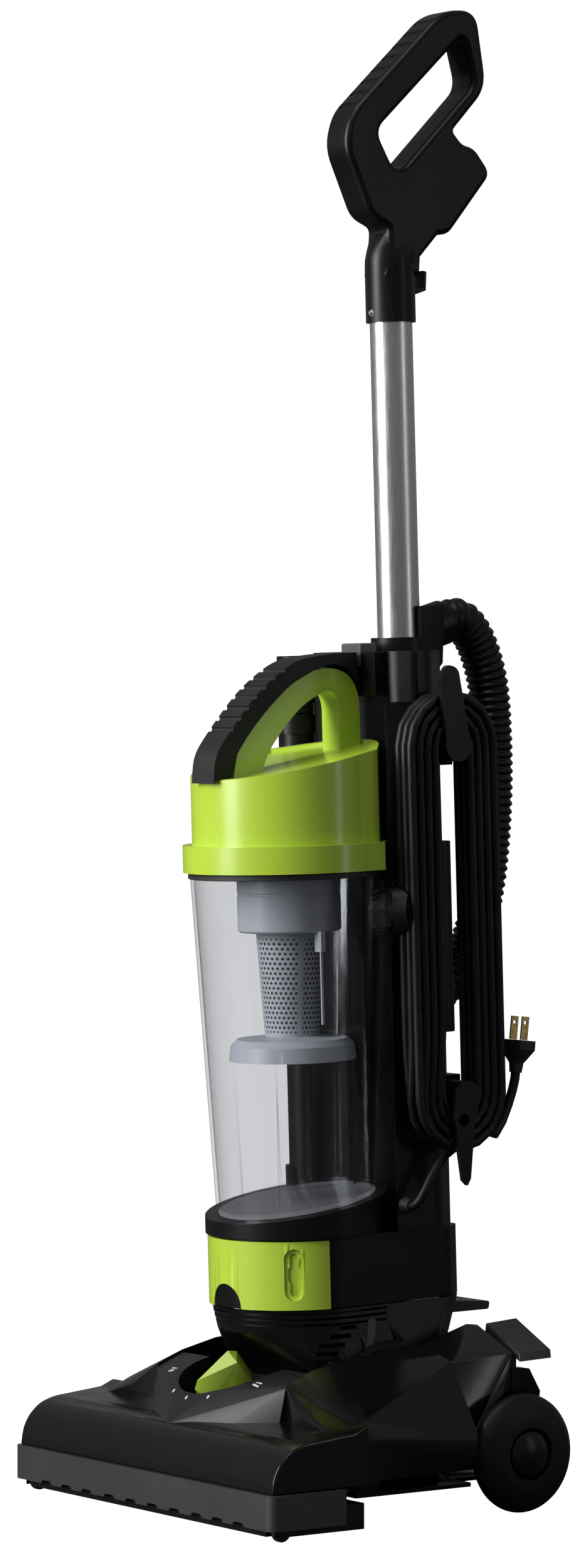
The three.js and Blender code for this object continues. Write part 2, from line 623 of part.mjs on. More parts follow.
// Two blocks on the rear half carry the cord hooks.
const hookSocket = height => cut(
  box(50, HANK_X[0] - GAP, splitY + 0.5, HANK_Y + 14, height - 14, height + 14),
  spineHollow,
);
const hoseHole = rod(17.4, [0, 90, 347], [0, 125, 360], SMALL);
piece(tower, 'spine_back', satinBlack, cut(
  join(common(cut(spineBulk, spineHollow), behind), hookSocket(HANK_HIGH), hookSocket(HANK_LOW)),
  hoseHole,
));

// Points on the axis of the hose's upper end, and on that of its lower end.
const hoseUpper = reach => [0, 127 + reach * Math.cos(0.26), 637 + reach * Math.sin(0.26)];
const hoseLower = reach => [0, 119 + reach * Math.cos(0.35), 363 + reach * Math.sin(0.35)];

// The head closes the tower, holds the tube's socket and carries the upper end of the hose.
const headPlan = outline([
  [-50, 62, 6], [50, 62, 6], [SPINE_HALF, 72, 4], [SPINE_HALF, 86, 6],
  [46, 112, 10], [-46, 112, 10], [-SPINE_HALF, 86, 6], [-SPINE_HALF, 72, 4],
]);
let head = cut(alongZ(headPlan, 585, HEAD_Z, 4), cradle, wandNest);
head = join(
  head,
  hull([[-30, 61.5, 590], [30, 61.5, 590], [-30, 61.5, HEAD_Z], [30, 61.5, HEAD_Z], [-30, 90, 590], [30, 90, 590],
    [-30, 90, HEAD_Z], [30, 90, HEAD_Z]]),
  rod(21, [0, TUBE_Y, 588], [0, TUBE_Y, 632], ROUND),
  hull([[-17, 112, 590], [17, 112, 590], [-21, 112, 655], [21, 112, 655],
    [-17, 134, 612], [17, 134, 612], [-21, 134, 655], [21, 134, 655]]),
);
head = cut(
  head,
  rod(TUBE_R + GAP, [0, TUBE_Y, 560], [0, TUBE_Y, 700], ROUND),
  rod(17.3, hoseUpper(0), hoseUpper(20), SMALL),
  box(-13, 13, 58, 78, 606, 640),
);
piece(tower, 'tower_head', satinBlack, head);

piece(tower, 'cup_release_button', paleGrey, alongX(outline([
  [61.8, 611.5], [77, 611.5], [77, 628.5, 2], [61.8, 628.5, 2],
]), -12, 12));
// The dirty-air mouth that the cup's inlet meets.
const portPoint = (reach, across = 0, up = 0) => [
  reach * Math.cos(PORT_ANGLE) - across * Math.sin(PORT_ANGLE),
  reach * Math.sin(PORT_ANGLE) + across * Math.cos(PORT_ANGLE),
  PORT_Z + up,
];
const hankClear = box(HANK_X[0] - 0.8, 130, 43, 200, 0, 800);
piece(tower, 'inlet_duct', satinBlack, cut(
  rod(21, portPoint(81), portPoint(97), 20),
  rod(16, portPoint(80), portPoint(93), 18),
  hankClear,
));
// ---------------------------------------------------------------- dust cup

const cupRadius = z => CUP_BOTTOM_R + (CUP_TOP_R - CUP_BOTTOM_R) * (z - 205) / (CUP_TOP - 205);
const cupCone = (inset, z0, z1) => turned(
  [[0, z0], [cupRadius(z0) - inset, z0], [cupRadius(z1) - inset, z1], [0, z1]], axisZ, [0, 0, 0], FINE,
);
const cupOuter = cut(cupCone(0, 205, CUP_TOP), below(SEAT_Z + GAP, SEAT_SLOPE));
const cupInner = cut(cupCone(2.5, 203, CUP_TOP + 3), below(SEAT_Z + 3.3, SEAT_SLOPE));
const channelPlan = [0, 24, 48.5];
const channelOuter = box(channelPlan[0], channelPlan[1], channelPlan[2], 80, 200, CUP_TOP - 2);
const channelInner = box(channelPlan[0] + 2, channelPlan[1] - 2, channelPlan[2] + 2, 80, 190, CUP_TOP + 2);
let cup = join(
  cut(cupOuter, cupInner),
  common(cupOuter, channelOuter),
  cut(rod(19, portPoint(64), portPoint(80.5), 28), cupCone(1, 203, CUP_TOP)),
);
cup = cut(cup, common(channelInner, cupCone(2.5, 203, CUP_TOP + 3)), rod(16, portPoint(52), portPoint(82), 24));
piece(tower, 'dust_cup', clear, cup);

piece(tower, 'cup_seal', rubber, turned(
  [[66, CUP_TOP + GAP], [73.5, CUP_TOP + GAP], [73.5, LID_Z - GAP], [66, LID_Z - GAP]], axisZ, [0, 0, 0], ROUND,
));

// The lid: round in front, squared behind, with a wide rim, a slanted top and a low lip round it.
function lidPlan(radius, inset) {
  const shape = new THREE.Shape();
  const corner = 0.27;
  const half = radius * Math.cos(corner);
  shape.absarc(0, 0, radius, Math.PI - corner, 2 * Math.PI + corner);
  shape.lineTo(half - 1, 35 - inset);
  shape.lineTo(half - 16, 47 - inset);
  shape.quadraticCurveTo(half - 38, LID_R - 3 - inset, 0, LID_R - 1 - inset);
  shape.quadraticCurveTo(38 - half, LID_R - 3 - inset, 16 - half, 47 - inset);
  shape.lineTo(1 - half, 35 - inset);
  shape.closePath();
  return shape;
}
let lid = join(
  alongZ(lidPlan(LID_RIM_R, 0), LID_Z, LID_Z + 20, 8),
  common(alongZ(lidPlan(LID_R, 0), LID_Z, 600, 8), below(LID_TOP_Z, LID_SLOPE)),
);
lid = cut(
  lid,
  common(alongZ(lidPlan(LID_R - 3, 3), LID_Z - 5, 600, 8), below(LID_TOP_Z - 6, LID_SLOPE)),
  cut(alongZ(lidPlan(LID_R - 4, 4), LID_Z, 600, 8), below(LID_TOP_Z - 2.5, LID_SLOPE)),
);
// The lime bow of the handle rises from the lid's front and comes down as a column at the rear.
const bow = new THREE.Shape();
bow.moveTo(-55, 528);
bow.splineThru([[-49, 553], [-35, 570], [-17, 587], [0, 600], [20, 609.5]].map(p => new THREE.Vector2(...p)));
bow.quadraticCurveTo(38, 613.5, 50, 606);
bow.quadraticCurveTo(60.5, 598, 60.5, 580);
bow.lineTo(60.5, 552);
bow.lineTo(42, 549);
bow.lineTo(42, 580);
bow.quadraticCurveTo(41, 597, 28, 594);
bow.splineThru([[8, 583], [-10, 566], [-22, 551], [-29, 536]].map(p => new THREE.Vector2(...p)));
bow.closePath();
lid = join(lid, alongX(bow, -11, 11, 3));
piece(tower, 'cup_lid', lime, lid);

// The soft black grip lies along the outside of the bow and ends in a latch under the tower's head.
const grip = new THREE.Shape();
grip.moveTo(-57.5, 540.5);
grip.lineTo(-57.5, 536);
grip.lineTo(-64, 534);
grip.lineTo(-73, 531.5);
grip.splineThru([
  [-74, 530], [-71, 549], [-60, 565], [-36, 591], [-17, 606], [4, 617], [30, 621], [57, 622],
].map(p => new THREE.Vector2(...p)));
grip.lineTo(58, 601);
grip.quadraticCurveTo(50, 612, 38, 614);
grip.splineThru([[20, 610.5], [-0.5, 601], [-17.7, 588], [-35.8, 571], [-50.3, 553.4]].map(p => new THREE.Vector2(...p)));
grip.closePath();
piece(tower, 'lid_grip', rubber, cut(alongX(grip, -14, 14, 3), alongX(bow, -12, 12, 3)));

// ---------------------------------------------------------------- cyclone

piece(tower, 'cyclone_shroud', paleGrey, cut(
  join(
    rod(38, [0, 0, 419], [0, 0, 463], ROUND),
    rod(62, [0, 0, LID_Z + GAP + 0.2], [0, 0, 468], ROUND),
    rod(38, [0, 0, 460], [0, 0, 466], ROUND),
    box(34, 42, -2, 2, 405, 420),
    box(38.5, 40, -1, 1, 352, 406),
  ),
  rod(36, [0, 0, 421.5], [0, 0, 470], ROUND),
  rod(20, [0, 0, 410], [0, 0, 430], SMALL),
));
// The cone screen and the flared disc that it ends in.
piece(tower, 'cyclone_screen', paleGrey, turned([
  [0, 336], [40, 336], [44, 325], [47, 325], [45.5, 336], [41, 340.5], [20, 342.6], [24.8, 418.7],
  [23, 418.7], [18.1, 342.6], [0, 341],
], axisZ, [0, 0, 0], ROUND));

// ---------------------------------------------------------------- handle

const tubeFoot = 592;
const tubeEnd = 904;
piece(tower, 'handle_tube', aluminium, cut(
  rod(TUBE_R, [0, TUBE_Y, tubeFoot], [0, TUBE_Y, tubeEnd], ROUND),
  rod(TUBE_R - 1.6, [0, TUBE_Y, tubeFoot - 1], [0, TUBE_Y, tubeEnd + 1], ROUND),
));

// The loop grip, drawn from the side, with the hand opening as a hole.
const loop = outline([
  [92, 900], [96, 925], [97, 936, 4], [80, 944, 8], [58, 996, 13], [66, 1021, 10], [152, 1099, 16],
  [184, 1100, 14], [192, 1042, 14], [159, 1009, 3], [168, 999, 5], [179, 997, 6], [194, 978, 8],
  [153, 932, 5], [143, 931], [126, 914], [124, 900],
]);
loop.holes.push(outline([
  [171, 1081, 8], [88, 1007, 10], [106, 974, 14], [180, 1044, 10],
]));
function chamferedX(shape, half, chamfer) {
  const geometry = new THREE.ExtrudeGeometry(shape, {
    depth: 2 * (half - chamfer), curveSegments: 3,
    bevelThickness: chamfer, bevelSize: chamfer, bevelOffset: -chamfer, bevelSegments: 1,
  });
  geometry.translate(0, 0, chamfer - half);
  geometry.applyMatrix4(new THREE.Matrix4().makeBasis(axisY, axisZ, axisX));
  return solid(geometry);
}
const collarR = 18.6;
const cordClip = cut(
  hull([[-5, 123, 886], [5, 123, 886], [-5, 123, 908], [5, 123, 908], [-5, 136, 890], [5, 136, 890],
    [-5, 137, 904], [5, 137, 904]]),
  box(-6, 6, 127.2, 134.2, 892, 920),
);
const handleSolid = cut(
  join(
    chamferedX(loop, LOOP_HALF, 5),
    rod(collarR, [0, TUBE_Y, TUBE_TOP], [0, TUBE_Y, 918], ROUND),
    cordClip,
  ),
  rod(TUBE_R + GAP, [0, TUBE_Y, TUBE_TOP - 5], [0, TUBE_Y, tubeEnd + 1], ROUND),
  rod(3, [0, 80, 873], [0, 95, 873], TINY),
);
for (const [word, side] of sides) {
  const half = box(side < 0 ? -60 : GAP / 2, side < 0 ? -GAP / 2 : 60, 0, 300, 800, 1200);
  piece(tower, `handle_${word}_half`, satinBlack, common(handleSolid, half));
}
piece(tower, 'handle_screw', steel, join(
  rod(2.7, [0, 88.4, 873], [0, 90.3, 873], TINY),
  rod(1.5, [0, 86.8, 873], [0, 90, 873], TINY),
));
// ---------------------------------------------------------------- wand, hooks and pedals on the tower

piece(tower, 'extension_wand', satinBlack, cut(
  join(
    rod(WAND_R, [...WAND, 223], [...WAND, 620], ROUND),
    rod(WAND_R + 1.2, [...WAND, 577], [...WAND, 584], ROUND),
  ),
  rod(WAND_R - 2, [...WAND, 222], [...WAND, 621], SMALL),
));
// Two hooks carry the wound cord. The upper one turns down so that the cord drops off.
const hookX = HANK_X[1] + 0.6;
piece(tower, 'upper_cord_hook', satinBlack, join(
  rod(HANK_R[0] - 0.8, [HANK_X[0], HANK_Y, HANK_HIGH], [hookX + 4, HANK_Y, HANK_HIGH], SMALL),
  alongX(outline([
    [76, 545, 6], [71, 604, 4], [77, 612, 4], [87, 609, 5], [98, 545, 6],
  ]), hookX, hookX + 4, 3),
));
const lowerHook = join(
  rod(HANK_R[0] - 0.8, [HANK_X[0], HANK_Y, HANK_LOW], [hookX + 1, HANK_Y, HANK_LOW], SMALL),
  hull([hookX, hookX + 4].flatMap(x => [
    ...ring(HANK_R[0] - 0.8, 0, [0, 0], 16).map(([y, z]) => [x, HANK_Y + y, HANK_LOW + z]),
    ...ring(10.5, 0, [0, 0], 16).map(([y, z]) => [x, 83 + y, 284 + z]),
  ])),
  hull([hookX, hookX + 4].flatMap(x => [
    ...ring(9.5, 0, [0, 0], 16).map(([y, z]) => [x, 83 + y, 284 + z]),
    [x, 80, 236], [x, 84, 232], [x, 87, 237],
  ])),
);
piece(tower, 'lower_cord_hook', satinBlack, cut(
  lowerHook, rod(4.5, [hookX - 1, 82, 280], [hookX + 6, 82, 280], TINY),
));

// The on-off pedal at the back of the tower base, turning on its own stubs, and the switch in front of it.
const pedalHinge = [94, 135];
piece(tower, 'power_pedal', darkGrey, join(
  alongX(outline([[96, 131], [149, 130, 2], [150, 136, 2], [118, 139], [96, 139]]), -22, 34, 2),
  rod(4, [-25, ...pedalHinge], [37, ...pedalHinge], TINY),
));
piece(tower, 'power_switch', glossBlack, join(
  box(-10, 10, 60, 84, 120, 140),
  box(-5, 5, 83, 87, 126, 134),
));

// ---------------------------------------------------------------- hose

piece(tower, 'hose_cuff_upper', satinBlack, cut(
  rod(16.9, hoseUpper(0.5), hoseUpper(21), SMALL),
  rod(13, hoseUpper(-1), hoseUpper(22), SMALL),
));
// The return duct on the back of the tower, where the lower end of the hose plugs in.
piece(tower, 'return_duct', satinBlack, cut(
  alongZ(outline([[-26, 110.4], [26, 110.4], [26, 133, 7], [-26, 133, 7]]), 338, 480, 3),
  alongZ(outline([[-23, 100], [23, 100], [23, 130], [-23, 130]]), 341, 477),
  rod(17.3, hoseLower(0), hoseLower(30), SMALL),
));
piece(tower, 'hose_cuff_lower', satinBlack, cut(
  rod(16.9, hoseLower(1), hoseLower(21), SMALL),
  rod(13, hoseLower(0), hoseLower(23), SMALL),
));
const hoseRoute = [
  hoseUpper(21.6), hoseUpper(27), [0, 163, 644], [0, 174, 634], [0, 183, 616], [0, 189, 592], [0, 191, 560],
  [0, 190.5, 520], [0, 187, 480], [0, 181, 445], [0, 171, 412], [0, 158, 388], hoseLower(27), hoseLower(21.6),
];
piece(tower, 'suction_hose', rubber, swept(hoseRoute, HOSE_R - 0.4, 30, 10));

// ---------------------------------------------------------------- mains cord

const cordX = 82;
piece(tower, 'cord_gland', rubber, cut(
  rod(6.5, [SPINE_HALF + GAP, 51, 218], [73, 51, 218], 20, 4.6),
  rod(CORD_R, [70, 51, 218], [80, 51, 218], TINY),
));
piece(tower, 'cord_lead', rubber, swept([
  [70.6, 51, 218], [74, 51, 218.1], [79.2, 52.5, 221], [cordX, 57, 229.6], [cordX, 64, 241], [cordX, 73, 251.4],
], CORD_R - 0.3, 12, 8));
const stadium = radius => {
  const shape = new THREE.Shape();
  shape.absarc(HANK_Y, HANK_LOW, radius, Math.PI, 2 * Math.PI);
  shape.absarc(HANK_Y, HANK_HIGH, radius, 0, Math.PI);
  shape.closePath();
  return shape;
};
piece(tower, 'cord_hank', rubber, cut(
  alongX(stadium(HANK_R[1]), ...HANK_X, 10),
  alongX(stadium(HANK_R[0]), HANK_X[0] - 1, HANK_X[1] + 1, 7),
));
piece(tower, 'cord_tail', rubber, swept([
  [cordX, 116.2, 266.8], [cordX, 120.6, 264.4], [cordX, 129, 272], [cordX, 136, 290], [cordX, 140.5, 302],
  [cordX, 142.3, 308.8],
], CORD_R, 14, 8));

// The plug points up, tilted a little to the rear, with two flat blades.
const plug = new THREE.Group();
plug.position.set(cordX, 142.5, 309.6);
plug.rotation.x = THREE.MathUtils.degToRad(-8);
tower.add(plug);
piece(plug, 'plug_body', rubber, hull([
  ...ring(4.6, 0, [0, 0], TINY), ...ring(5.5, 8, [0, 0], TINY),
  [-12, -7, 17], [12, -7, 17], [12, 7, 17], [-12, 7, 17], [-12, -7, 24], [12, -7, 24], [12, 7, 24], [-12, 7, 24],
]));
for (const [word, side] of sides) {
  piece(plug, `plug_blade_${word}`, brass, cut(
    box(side * 6.35 - 0.75, side * 6.35 + 0.75, -3.2, 3.2, 24.2, 41.5),
    rod(1.4, [side * 6.35 - 2, 0, 37], [side * 6.35 + 2, 0, 37], TINY),
  ));
}

export default vacuum;
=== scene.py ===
"""An upright bagless vacuum cleaner: its looks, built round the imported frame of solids."""
import json
import math
import bmesh
import bpy
from mathutils import Matrix, Vector


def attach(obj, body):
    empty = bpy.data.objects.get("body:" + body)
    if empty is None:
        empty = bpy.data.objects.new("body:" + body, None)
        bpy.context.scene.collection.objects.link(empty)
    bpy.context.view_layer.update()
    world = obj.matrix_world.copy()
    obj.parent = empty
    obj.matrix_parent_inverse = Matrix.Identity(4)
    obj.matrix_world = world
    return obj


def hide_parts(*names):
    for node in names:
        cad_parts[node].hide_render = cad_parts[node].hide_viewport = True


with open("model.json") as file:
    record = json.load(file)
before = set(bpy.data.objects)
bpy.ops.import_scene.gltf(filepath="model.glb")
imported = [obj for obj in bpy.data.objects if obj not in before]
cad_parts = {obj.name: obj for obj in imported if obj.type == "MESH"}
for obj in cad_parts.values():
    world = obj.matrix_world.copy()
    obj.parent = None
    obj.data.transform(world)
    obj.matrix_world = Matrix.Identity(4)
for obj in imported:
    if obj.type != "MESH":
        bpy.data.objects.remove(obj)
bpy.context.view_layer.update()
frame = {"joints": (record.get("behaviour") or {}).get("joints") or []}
scene = bpy.context.scene

# ------------------------------------------------------------ camera, floor and light
# A long lens at the height of the dust cup, ahead of the machine and to its right, and a pale
# seamless floor. A big soft lamp stands to the left of the camera, a weak one behind to the right,
# and a third hangs above.
camera = bpy.data.objects.new("camera", bpy.data.cameras.new("camera"))
camera.data.sensor_fit = "VERTICAL"
camera.data.sensor_height = 36
camera.data.lens = 121.9
camera.data.shift_y = -0.042
camera.data.clip_end = 60
view_azimuth = math.radians(54.6)
camera.location = (3.1752, -2.2738, 0.574)
camera.rotation_euler = (math.radians(90), 0, view_azimuth)
scene.collection.objects.link(camera)
scene.camera = camera


def area_lamp(name, azimuth, height, reach, size, power, target=(0, 0, 0.5)):
    """A square soft lamp at a turn from the front of the machine, aimed at a point on it."""
    lamp = bpy.data.objects.new(name, bpy.data.lights.new(name, "AREA"))
    lamp.data.shape = "RECTANGLE"
    lamp.data.size, lamp.data.size_y = size
    lamp.data.energy = power
    turn = math.radians(azimuth)
    lamp.location = (reach * math.sin(turn), -reach * math.cos(turn), height)
    aim = Vector(target) - lamp.location
    lamp.rotation_euler = aim.to_track_quat("-Z", "Y").to_euler()
    scene.collection.objects.link(lamp)


area_lamp("key_lamp", -14, 1.3, 2.4, (0.9, 1.9), 92)
area_lamp("rim_lamp", 120, 1.0, 2.4, (0.2, 1.6), 3)
area_lamp("top_lamp", 30, 2.9, 0.9, (1.2, 1.2), 17)

floor_mesh = bmesh.new()
bmesh.ops.create_circle(floor_mesh, cap_ends=True, segments=96, radius=22)
floor_data = bpy.data.meshes.new("floor")
floor_mesh.to_mesh(floor_data)
floor_mesh.free()
floor = bpy.data.objects.new("floor", floor_data)
scene.collection.objects.link(floor)

# The room and the floor are white to the camera and dim in what they light, as in a white studio
# with dark screens round the machine.
floor_finish = bpy.data.materials.new("floor")
floor_finish.use_nodes = True
paint = floor_finish.node_tree
matt = paint.nodes["Principled BSDF"]
matt.inputs["Base Color"].default_value = (0.06, 0.06, 0.06, 1)
matt.inputs["Roughness"].default_value = 0.8
floor_ray = paint.nodes.new("ShaderNodeLightPath")
glow = paint.nodes.new("ShaderNodeMath")
glow.operation = "MULTIPLY"
glow.inputs[1].default_value = 1.05
paint.links.new(floor_ray.outputs["Is Camera Ray"], glow.inputs[0])
matt.inputs["Emission Color"].default_value = (1, 1, 1, 1)
paint.links.new(glow.outputs[0], matt.inputs["Emission Strength"])
floor_data.materials.append(floor_finish)
world = bpy.data.worlds.new("studio")
world.use_nodes = True
scene.world = world
room = world.node_tree
room_light = room.nodes["Background"]
room_light.inputs["Color"].default_value = (1, 1, 1, 1)
room_light.inputs["Strength"].default_value = 0.2
room_white = room.nodes.new("ShaderNodeBackground")
room_white.inputs["Color"].default_value = (1, 1, 1, 1)
room_white.inputs["Strength"].default_value = 1.1
ray = room.nodes.new("ShaderNodeLightPath")
room_mix = room.nodes.new("ShaderNodeMixShader")
room.links.new(ray.outputs["Is Camera Ray"], room_mix.inputs["Fac"])
room.links.new(room_light.outputs[0], room_mix.inputs[1])
room.links.new(room_white.outputs[0], room_mix.inputs[2])
room.links.new(room_mix.outputs[0], room.nodes["World Output"].inputs["Surface"])
scene.view_settings.view_transform = "Standard"

# ------------------------------------------------------------ drawing frames
# Everything is drawn in millimetres from the cup's axis, and then placed: the foot level on the
# floor, the tower leaning with its own joints.
MM = 0.001
PIVOT_Y, PIVOT_Z = 30, 75
joints = {joint["name"]: joint for joint in frame["joints"]}
pivot = Vector(joints["tower_recline"]["pos_m"])
tower_up = Vector(joints["wand_lift"]["axis"])
lean = math.atan2(-tower_up.y, tower_up.z)
to_metres = Matrix.Scale(MM, 4)
foot_place = Matrix.Translation((0, pivot.y - PIVOT_Y * MM, 0)) @ to_metres
tower_place = (
    Matrix.Translation(pivot) @ Matrix.Rotation(lean, 4, "X") @ to_metres
    @ Matrix.Translation((0, -PIVOT_Y, -PIVOT_Z))
)


# ------------------------------------------------------------ mains cord
# Round black flex of 7 mm, wound on the two hooks beside the tower in three strands and four
# layers. It comes out of the gland at the foot of the spine and ends in a moulded plug.
class Value:
    """A number in a material's node tree, so that sums on it read as sums."""

    def __init__(self, finish, socket):
        self.finish = finish
        self.socket = socket

    def sum(self, operation, *values):
        return self.finish.node("Math", {"operation": operation}, *values)

    def __add__(self, other):
        return self.sum("ADD", self, other)

    def __sub__(self, other):
        return self.sum("SUBTRACT", self, other)

    def __rsub__(self, other):
        return self.sum("SUBTRACT", other, self)

    def __mul__(self, other):
        return self.sum("MULTIPLY", self, other)


class Finish:
    """A material: one Principled shader, and the nodes that change it over the surface."""

    def __init__(self, name, colour, roughness, **constants):
        self.material = bpy.data.materials.new(name)
        self.material.use_nodes = True
        self.tree = self.material.node_tree
        self.shader = self.tree.nodes["Principled BSDF"]
        self.set("Base Color", (*colour, 1))
        self.set("Roughness", roughness)
        for socket, value in constants.items():
            self.set(socket.replace("_", " "), value)
        self.place = self.node("TexCoord", output="Object")

    def set(self, socket, value):
        target = self.shader.inputs[socket]
        if isinstance(value, Value):
            self.tree.links.new(value.socket, target)
        else:
            target.default_value = value

    def node(self, kind, settings=None, *values, output=0, **named):
        """Any node: its settings first, then the values or links of its sockets."""
        node = self.tree.nodes.new("ShaderNode" + kind)
        stops = (settings or {}).get("stops")
        for key, value in (settings or {}).items():
            if key != "stops":
                setattr(node, key, value)
        if stops:
            ramp = node.color_ramp
            while len(ramp.elements) < len(stops):
                ramp.elements.new(0.5)
            for element, (position, colour) in zip(ramp.elements, stops):
                element.position = position
                element.color = (*colour, 1) if len(colour) == 3 else colour
        pairs = list(zip(node.inputs, values)) + [
            (node.inputs[key.replace("_", " ")], value) for key, value in named.items()
        ]
        for socket, value in pairs:
            if isinstance(value, Value):
                self.tree.links.new(value.socket, socket)
            elif value is not None:
                socket.default_value = value
        return Value(self, node.outputs[output])

    def noise(self, scale, detail=2.0, roughness=0.5, vector=None):
        return self.node(
            "TexNoise", {"noise_dimensions": "3D"}, Vector=vector or self.place,
            Scale=scale, Detail=detail, Roughness=roughness, output="Fac",
        )

    def band(self, value, low, high, to_low=0.0, to_high=1.0):
        """value from low..high brought to to_low..to_high, and held there beyond."""
        return self.node(
            "MapRange", {"clamp": True}, Value=value,
            From_Min=low, From_Max=high, To_Min=to_low, To_Max=to_high,
        )

    def mix(self, mask, first, second):
        """first where mask is 0, second where it is 1: a colour, or a link to one, each."""
        mixer = self.tree.nodes.new("ShaderNodeMix")
        mixer.data_type = "RGBA"
        for socket, value in zip((mixer.inputs[0], mixer.inputs[6], mixer.inputs[7]), (mask, first, second)):
            if isinstance(value, Value):
                self.tree.links.new(value.socket, socket)
            else:
                socket.default_value = (*value, 1)
        return Value(self, mixer.outputs[2])

    def relief(self, height, depth, strength=1.0):
        self.set("Normal", self.node("Bump", {}, Height=height, Strength=strength, Distance=depth))
        return self


def flex(name, colour, roughness):
    """Matt black PVC with a faint handling bloom."""
    finish = Finish(name, colour, roughness, Specular_IOR_Level=0.28)
    bloom = finish.noise(60, 3)
    finish.set(
        "Base Color",
        finish.mix(finish.band(bloom, 0.45, 0.75), colour, [c * 1.6 + 0.003 for c in colour]),
    )
    finish.set("Roughness", finish.band(finish.noise(220), 0.3, 0.7, roughness - 0.06, roughness + 0.1))
    return finish.relief(finish.noise(900, 1), 0.00006, 0.5)


cord_finish = flex("cord_flex", (0.003, 0.003, 0.0033), 0.42).material

cord_radius = 3.5
hank_y, hank_low, hank_high = 86, 297, 552
strand_x = (75.0, 82.2, 89.4)
layer_radius = (15.7, 22.9, 30.1, 37.3)
# Strand and layer of each turn, from the machine's end to the plug's.
winding = ((1, 3), (0, 3), (0, 2), (1, 2), (1, 1), (0, 1), (0, 0), (1, 0), (2, 0), (2, 1), (2, 2), (2, 3))
cord_lead = [
    (70.9, 51, 218), (74, 51, 218.2), (77.4, 51.7, 219.4), (80.2, 53.6, 223), (81.8, 57, 229.6),
    (82.2, 62, 238), (82.2, 68, 246), (82.2, 75, 253.4),
]
cord_tail = [
    (85.5, 119.5, 266), (83.5, 127.5, 274.5), (82.2, 134.5, 286), (82, 139.3, 297), (82, 141.8, 305),
    (82, 142.6, 310.4),
]


def around_hooks(x, radius, turn, sag=0.0):
    """A point on the way round both hooks: turn 0..1 starts below the lower one and goes up at the rear."""
    quarter, run = math.pi / 2 * radius, hank_high - hank_low
    lengths = (quarter, run, 2 * quarter, run, quarter)
    at = turn * sum(lengths)
    for stretch, length in enumerate(lengths):
        if at <= length or stretch == 4:
            break
        at -= length
    if stretch in (1, 3):
        way = math.sin(math.pi * at / run) * sag
        rises = stretch == 1
        return (x + way, hank_y + (radius if rises else -radius), hank_low + at if rises else hank_high - at)
    angle = {0: -math.pi / 2, 2: 0, 4: math.pi}[stretch] + at / radius
    centre = hank_high if stretch == 2 else hank_low
    return (x, hank_y + radius * math.cos(angle), centre + radius * math.sin(angle))


cord_points = list(cord_lead)
steps_per_turn = 52
for number, (strand, layer) in enumerate(winding):
    x, radius = strand_x[strand], layer_radius[layer]
    next_strand, next_layer = winding[min(number + 1, len(winding) - 1)]
    sag = 0.5 * math.sin(2.4 * number + 1)
    for step in range(steps_per_turn):
        turn = step / steps_per_turn
        if number == len(winding) - 1 and turn > 0.02:
            break
        shift = min(max((turn - 0.86) / 0.14, 0), 1)
        shift = shift * shift * (3 - 2 * shift)
        cord_points.append(around_hooks(
            x + (strand_x[next_strand] - x) * shift,
            radius + (layer_radius[next_layer] - radius) * shift, turn, sag,
        ))
# The last turn goes once more round, and leaves for the plug from the foot of the hank.
last_x, last_radius = strand_x[2], layer_radius[3]
cord_points += [
    around_hooks(last_x, last_radius, step / steps_per_turn) for step in range(2, steps_per_turn)
]
cord_points += [around_hooks(last_x - 0.7 * step, last_radius, step * 0.009) for step in range(5)]
cord_points += cord_tail


def measured(points):
    return sum((Vector(b) - Vector(a)).length for a, b in zip(points, points[1:]))


def tube_curve(name, points, radius, finish, place):
    """A round cord as one open curve through the points, given in drawing millimetres."""
    data = bpy.data.curves.new(name, "CURVE")
    data.dimensions = "3D"
    data.bevel_depth = radius * MM
    data.bevel_resolution = 3
    data.use_fill_caps = True
    spline = data.splines.new("POLY")
    spline.points.add(len(points) - 1)
    for point, position in zip(spline.points, points):
        point.co = (*(place @ Vector(position)), 1)
    spline.use_smooth = True
    data.materials.append(finish)
    cord = bpy.data.objects.new(name, data)
    scene.collection.objects.link(cord)
    return cord


mains_cord = tube_curve("mains_cord", cord_points, cord_radius, cord_finish, tower_place)
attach(mains_cord, "tower")
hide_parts("cord_lead", "cord_hank", "cord_tail")

# ------------------------------------------------------------ suction hose
# Soft black hose moulded over a wire helix. It plugs into a cuff at the head, hangs behind the
# tower and plugs into the cuff of the return duct.


def smooth_line(points, steps):
    """Points on a smooth curve through the given ones, with steps to each stretch."""
    ends = [points[0], *points, points[-1]]
    found = []
    for i in range(len(points) - 1):
        a, b, c, d = (Vector(ends[i + k]) for k in range(4))
        for step in range(steps):
            t = step / steps
            found.append(0.5 * (
                2 * b + (c - a) * t + (2 * a - 5 * b + 4 * c - d) * t * t + (3 * b - a - 3 * c + d) * t ** 3
            ))
    return [*found, Vector(points[-1])]


def evenly(points, spacing):
    """The same line cut into stretches of about one length."""
    total = measured(points)
    count = max(2, round(total / spacing))
    found, index, passed = [Vector(points[0])], 0, 0.0
    for k in range(1, count):
        wanted = total * k / count
        while passed + (points[index + 1] - points[index]).length < wanted:
            passed += (points[index + 1] - points[index]).length
            index += 1
        stretch = points[index + 1] - points[index]
        found.append(points[index] + stretch * ((wanted - passed) / stretch.length))
    return [*found, Vector(points[-1])]


